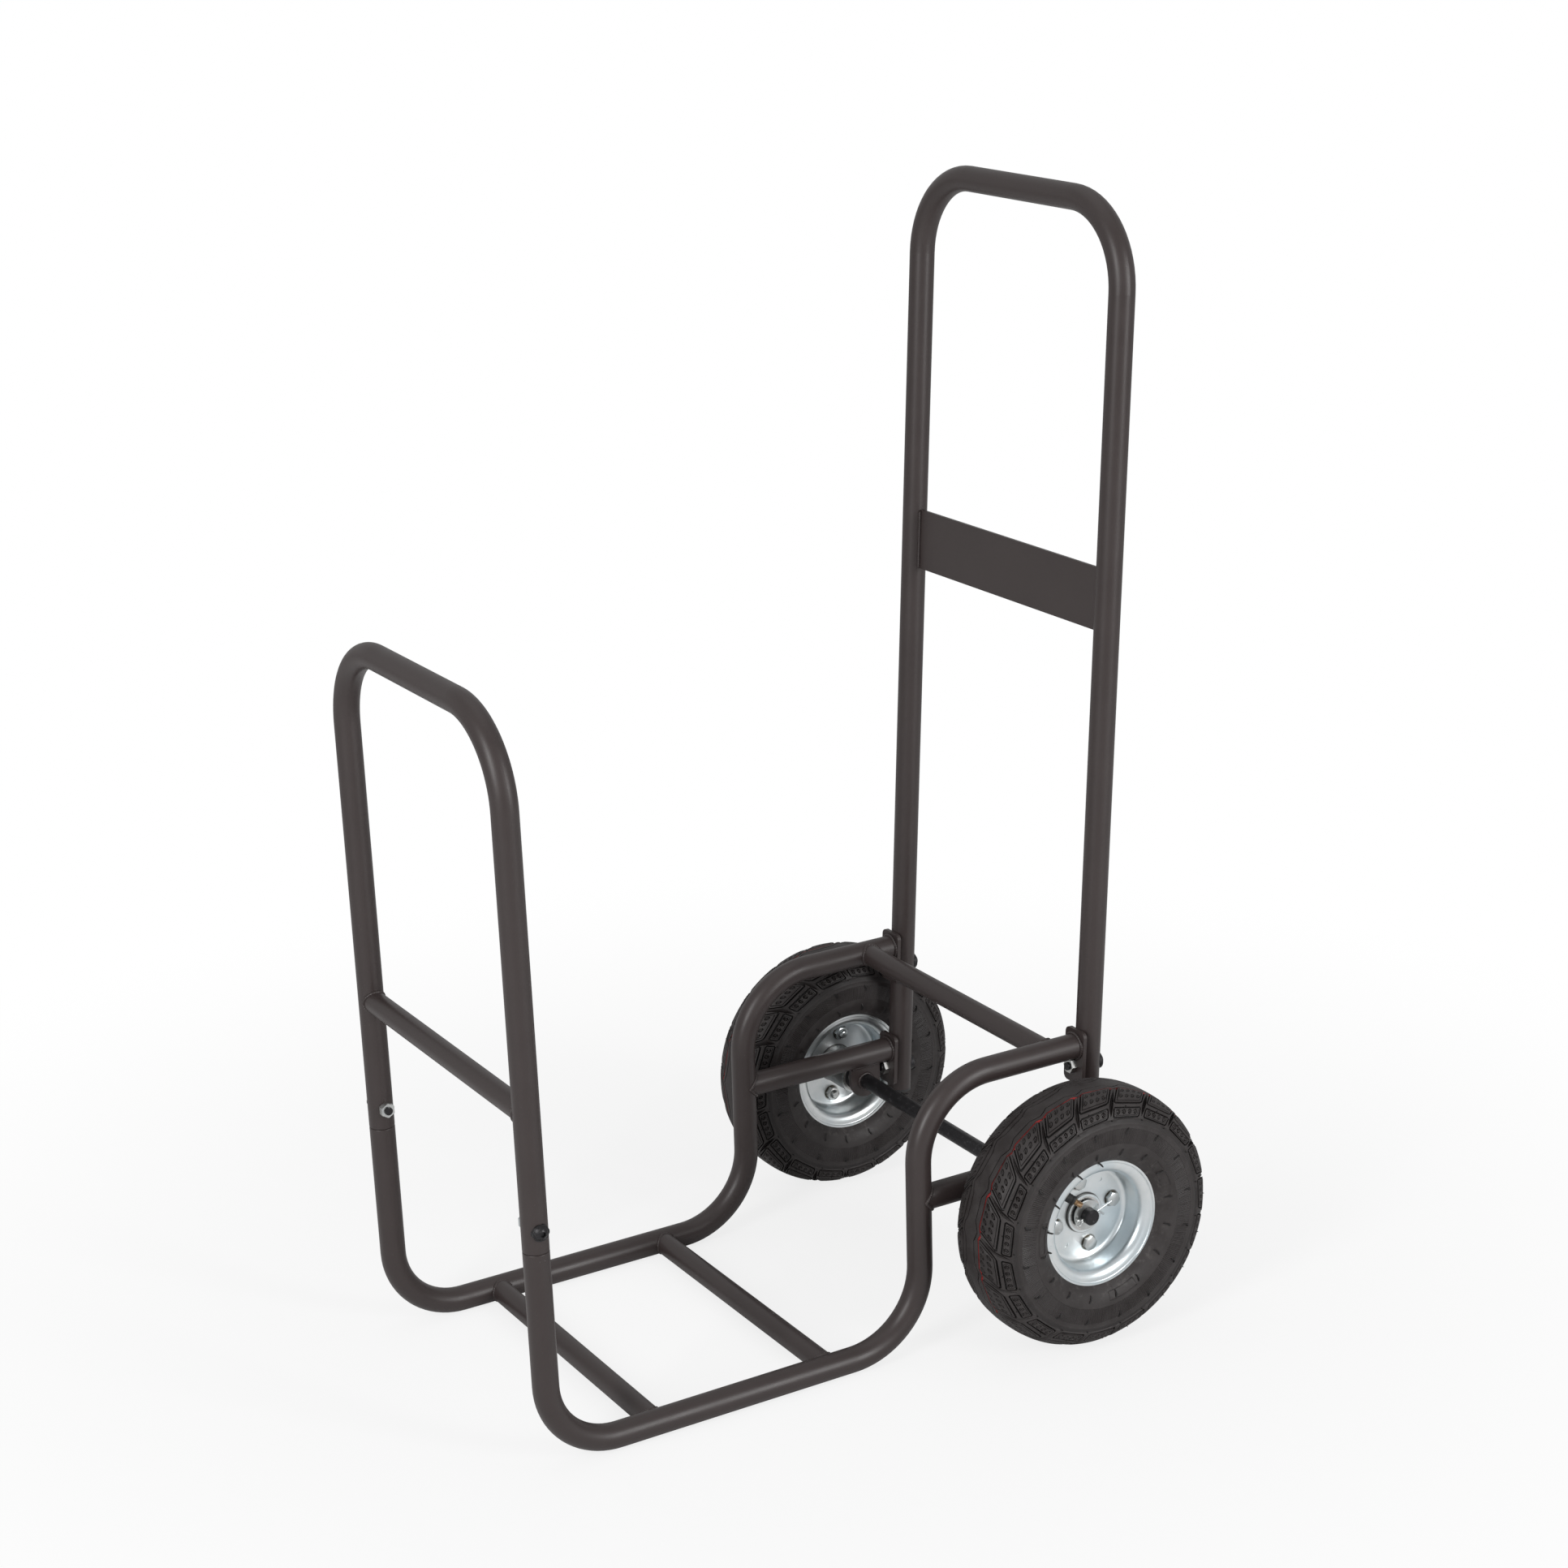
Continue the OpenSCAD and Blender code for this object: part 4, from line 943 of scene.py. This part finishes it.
def valve_body():
    """Rubber body: a foot flange, a waist, then a grip with lengthwise ribs between two collars."""
    def ribbed(radius):
        return lambda turn: radius - GRIP_DEPTH * (0.5 - 0.5 * math.cos(GRIP_RIBS * turn))
    rings = [(-5.0, 4.5), (0.6, 4.6), (1.4, 5.4), (2.4, 5.4), (3.2, 4.7), (5.0, 4.7), (5.5, 5.2), (6.7, 5.2),
             (GRIP_FROM, ribbed(5.0))]
    for i in range(1, GRIP_RINGS):
        rings.append((GRIP_FROM + GRIP_LENGTH * i / GRIP_RINGS, ribbed(5.0 - 0.03 * i - (0.3 if i % 2 else 0.0))))
    rings += [(GRIP_FROM + GRIP_LENGTH, ribbed(4.75)), (17.5, 4.95), (18.6, 4.9), (19.3, 4.6), (VALVE_LENGTH, 4.0)]
    return stacked(rings, VALVE_SIDES, valve_frame)


def valve_end():
    """Metal end: a plain shoulder, then a thread with a bevelled mouth."""
    top = VALVE_LENGTH + VALVE_TIP_LENGTH
    rings = [(VALVE_LENGTH - 0.6, 2.6), (VALVE_LENGTH + 0.05, TIP_RADIUS), (VALVE_LENGTH + 1.8, TIP_RADIUS),
             (VALVE_LENGTH + 2.0, 2.75)]
    rings += threaded(VALVE_LENGTH + 2.2, top - 0.5, TIP_RADIUS, TIP_PITCH, TIP_DEPTH)
    return stacked(rings + [(top, 2.55), (top, 1.7), (top - 1.6, 1.6)], TIP_SIDES, valve_frame)


def add_rim_details():
    for side, word in SIDES:
        for name, piece, count, start, finish, node in (
                ("chamfered_rim_bolts", rim_bolt(), 4, RIM_BOLT_ANGLE, "zinc_plate", "_rim_bolts"),
                ("chamfered_rim_nuts", rim_nut(), 4, RIM_BOLT_ANGLE, "zinc_plate", "_rim_nuts"),
                ("ribbed_valve_stem", valve_body(), 1, VALVE_ANGLE, "tube_rubber", "_valve_stem"),
                ("threaded_valve_tip", valve_end(), 1, VALVE_ANGLE, "valve_brass", "_valve_tip")):
            made = mesh_object(word + "_" + name, *piece)
            ring_of(made, finish, side, count, start)
            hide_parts(word + node)
            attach(made, word + "_wheel")


# ------ welds

# Where the frame's members meet: millimetres, y from the front hoop's foot and z from the floor.
MIDDLE_Y = 331.7517
SIDE_X = 165.5
TUBE, CROSSBAR = 12.5, 11.0
HOOP_LEAN, HOOP_BAR_HEIGHT = 0.88, 354
HANDLE_FOOT, HANDLE_LEAN = 593, -2.85
# Crossbars between the sides: (y, z, radius of the bead's ring). The base ones keep off the floor.
BARS = ((110, TUBE, CROSSBAR - 0.7), (300, TUBE, CROSSBAR - 0.7), (560, 276.5, CROSSBAR))
BRACE_FOOT = (406, 161)
FLANGE_BACK, FLANGE_HEIGHTS = -16.9, (276.0, 160.4)
PLATE_SIDE, PLATE_FACE, PLATE_HEIGHTS = 153.0, 2.1, (690.5, 705, 719.5, 734, 748.5)
BRACKET_FACE, BRACKET_TOP, BRACKET_LINE = 3.2, 148.9, (538, 549, 561, 572)
AXLE_AT, AXLE_BEAD, AXLE_FACE = (555, 132), 8.4, 2.9
# The beads themselves: lengths in metres, the rest as shares of the bead's radius.
BEAD_INPUTS = (("Step", "Float", 0.0008), ("Bead Radius", "Float", 0.0017), ("Ripple Length", "Float", 0.0023),
               ("Ripple Depth", "Float", 0.16), ("Wander", "Float", 0.35))
BEAD_LEAST, BEAD_SIDES, BEAD_NOISE = 0.82, 8, 90.0
LOOP_STEPS, LOOP_LIFT = 40, 0.3


def bead_group():
    """A rippled bead of weld along every line of the mesh."""
    group = Group("weld bead", BEAD_INPUTS)
    given = group.given
    line = group.node("GeometryNodeMeshToCurve", {}, {"Mesh": given["Geometry"]})
    stepped = group.node("GeometryNodeResampleCurve", {"mode": "LENGTH"}, {"Curve": line, "Length": given["Step"]})
    turn = group.node("GeometryNodeSplineParameter", out="Length") / given["Ripple Length"] * (2 * math.pi)
    ripple = group.maths("MULTIPLY_ADD", group.maths("SINE", turn), given["Ripple Depth"], BEAD_LEAST)
    noise = group.node("ShaderNodeTexNoise", {}, {"Scale": BEAD_NOISE, "Detail": 1.0})
    profile = group.node("GeometryNodeCurvePrimitiveCircle", {}, {
        "Resolution": BEAD_SIDES, "Radius": given["Bead Radius"]})
    bead = group.node("GeometryNodeCurveToMesh", {}, {
        "Curve": stepped, "Profile Curve": profile, "Scale": ripple + noise * given["Wander"], "Fill Caps": True})
    group.end(group.node("GeometryNodeRealizeInstances", {}, {0: bead}))
    return group


def saddle(place, branch, main, branch_radius, main_radius):
    """Closed line where a tube that starts at place, on the axis of another, leaves its surface."""
    place, branch, main = Vector(place), Vector(branch).normalized(), Vector(main).normalized()
    beside = branch.cross(main).normalized()
    line = []
    for i in range(LOOP_STEPS):
        turn = 2 * math.pi * i / LOOP_STEPS
        a, b = math.cos(turn) * branch_radius, math.sin(turn) * branch_radius
        out = math.sqrt(max(main_radius ** 2 - a * a, 0)) + LOOP_LIFT
        line.append(place + beside * a + main * b + branch * out)
    return line


def collar(place, along, radius):
    """Closed circle round a tube where it meets a plate."""
    return circle(Vector(place), Vector(along), radius, LOOP_STEPS)


def leaning(foot_y, lean, y, s):
    """(y, z) of a place s up a frame that leans by so many degrees, y in front of or behind its middle."""
    turn = math.radians(lean)
    return (foot_y - MIDDLE_Y + y * math.cos(turn) - s * math.sin(turn),
            y * math.sin(turn) + s * math.cos(turn))


def weld_lines():
    """(line, whether it is closed) for each place where the frame is welded, in millimetres."""
    loops, lines = [], []
    hoop_up = (0, -math.sin(math.radians(HOOP_LEAN)), math.cos(math.radians(HOOP_LEAN)))
    for side, _ in SIDES:
        x, inward = side * SIDE_X, (-side, 0, 0)
        loops.append(saddle((x, *leaning(0, HOOP_LEAN, 0, HOOP_BAR_HEIGHT)), inward, hoop_up, CROSSBAR, TUBE))
        for y, z, ring in BARS:
            loops.append(saddle((x, y - MIDDLE_Y, z), inward, (0, 1, 0), ring, TUBE))
        loops.append(saddle((x, BRACE_FOOT[0] - MIDDLE_Y, BRACE_FOOT[1]), (0, 1, 0), (0, 0, 1), TUBE, TUBE))
        for s in FLANGE_HEIGHTS:
            loops.append(collar((x, *leaning(HANDLE_FOOT, HANDLE_LEAN, FLANGE_BACK, s)), (0, 1, 0), TUBE + 0.4))
        for face in (1, -1):
            lines.append([Vector((side * PLATE_SIDE, *leaning(HANDLE_FOOT, HANDLE_LEAN, PLATE_FACE * face, s)))
                          for s in PLATE_HEIGHTS])
            lines.append([Vector((x + face * BRACKET_FACE, y - MIDDLE_Y, BRACKET_TOP)) for y in BRACKET_LINE])
            loops.append(collar((x + face * AXLE_FACE, AXLE_AT[0] - MIDDLE_Y, AXLE_AT[1]), (1, 0, 0), AXLE_BEAD))
    return [(loop, True) for loop in loops] + [(line, False) for line in lines]


def add_welds():
    points, edges = [], []
    for line, closed in weld_lines():
        add_line(points, edges, line, closed)
    made = mesh_object("weld_beads", points, [], edges)
    settings = {name: value for name, _, value in BEAD_INPUTS}
    bead_group().put_on(made, {**settings, "Finish": FINISHES["black_powder_coat"]})
    applied(made, 60)
    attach(made, "frame")


# ------ stage

# Metres and strengths.
FLOOR_REACH = 14
FLOOR_SHADOW_REACH, FLOOR_WHITE_FROM = 0.35, 1.35
FLOOR_GLOW = 0.80
WORLD_LIGHT, WORLD_MIRRORED = 0.40, 0.56
WHITE = (1, 1, 1, 1)
# Soft boxes: (place, aim, width, height, watts).
SOFT_BOXES = {
    "key": ((1.2, -3.0, 1.9), (0, 0, 0.45), 0.9, 1.8, 58),
    "fill": ((3.3, 1.4, 1.5), (0, 0, 0.45), 0.8, 1.8, 56),
    "top": ((-0.4, 0.1, 3.4), (0, 0, 0.4), 2.4, 2.4, 7),
}


def add_floor():
    """A wide pale floor that melts into a white background and keeps a soft shadow."""
    f = Finish("studio_floor")
    camera_ray = f.node("ShaderNodeLightPath", out="Is Camera Ray")
    pale = f.blend(f.noise(40, 3), (0.86, 0.86, 0.86), (0.89, 0.89, 0.89))
    matt = f.node("ShaderNodeBsdfDiffuse", {}, {"Color": pale})
    glow = f.node("ShaderNodeEmission", {}, {"Color": WHITE, "Strength": 1.0})
    x, y, _ = f.parts(f.place())
    away = f.span(distance(x, y), FLOOR_SHADOW_REACH, FLOOR_WHITE_FROM, FLOOR_GLOW, 1.0)
    reach = FLOOR_REACH / MM
    floor = mesh_object("floor", [(-reach, -reach, 0), (reach, -reach, 0), (reach, reach, 0), (-reach, reach, 0)],
                        [(0, 1, 2, 3)])
    floor.data.materials.append(f.end(f.node("ShaderNodeMixShader", {}, {0: camera_ray * away, 1: matt, 2: glow})))


def add_world():
    """White to the camera, and dimmer where it lights the cart or is mirrored in it."""
    w = Finish("studio", bpy.data.worlds)
    mirrored = w.maths("MAXIMUM", w.node("ShaderNodeLightPath", out="Is Glossy Ray"),
                       w.node("ShaderNodeLightPath", out="Is Transmission Ray"))
    shown = w.node("ShaderNodeMapRange", {}, {
        "Value": mirrored, "To Min": WORLD_LIGHT, "To Max": WORLD_MIRRORED})
    level = w.node("ShaderNodeMapRange", {}, {
        "Value": w.node("ShaderNodeLightPath", out="Is Camera Ray"), "To Min": shown, "To Max": 1.0})
    background = w.node("ShaderNodeBackground", {}, {"Color": WHITE, "Strength": level})
    bpy.context.scene.world = w.end(background, "ShaderNodeOutputWorld")


def add_lamps():
    for name, (place, aim, width, height, power) in SOFT_BOXES.items():
        data = bpy.data.lights.new(name, "AREA")
        data.shape = "RECTANGLE"
        data.size, data.size_y, data.energy = width, height, power
        turn = (Vector(aim) - Vector(place)).to_track_quat("-Z", "Y").to_matrix().to_4x4()
        in_scene(name, data).matrix_world = Matrix.Translation(place) @ turn


add_camera()
add_floor()
add_world()
add_lamps()
finish_cad_nodes()
add_tyres()
add_tyre_details()
add_rim_details()
add_welds()

bpy.context.scene.view_settings.view_transform = "Standard"
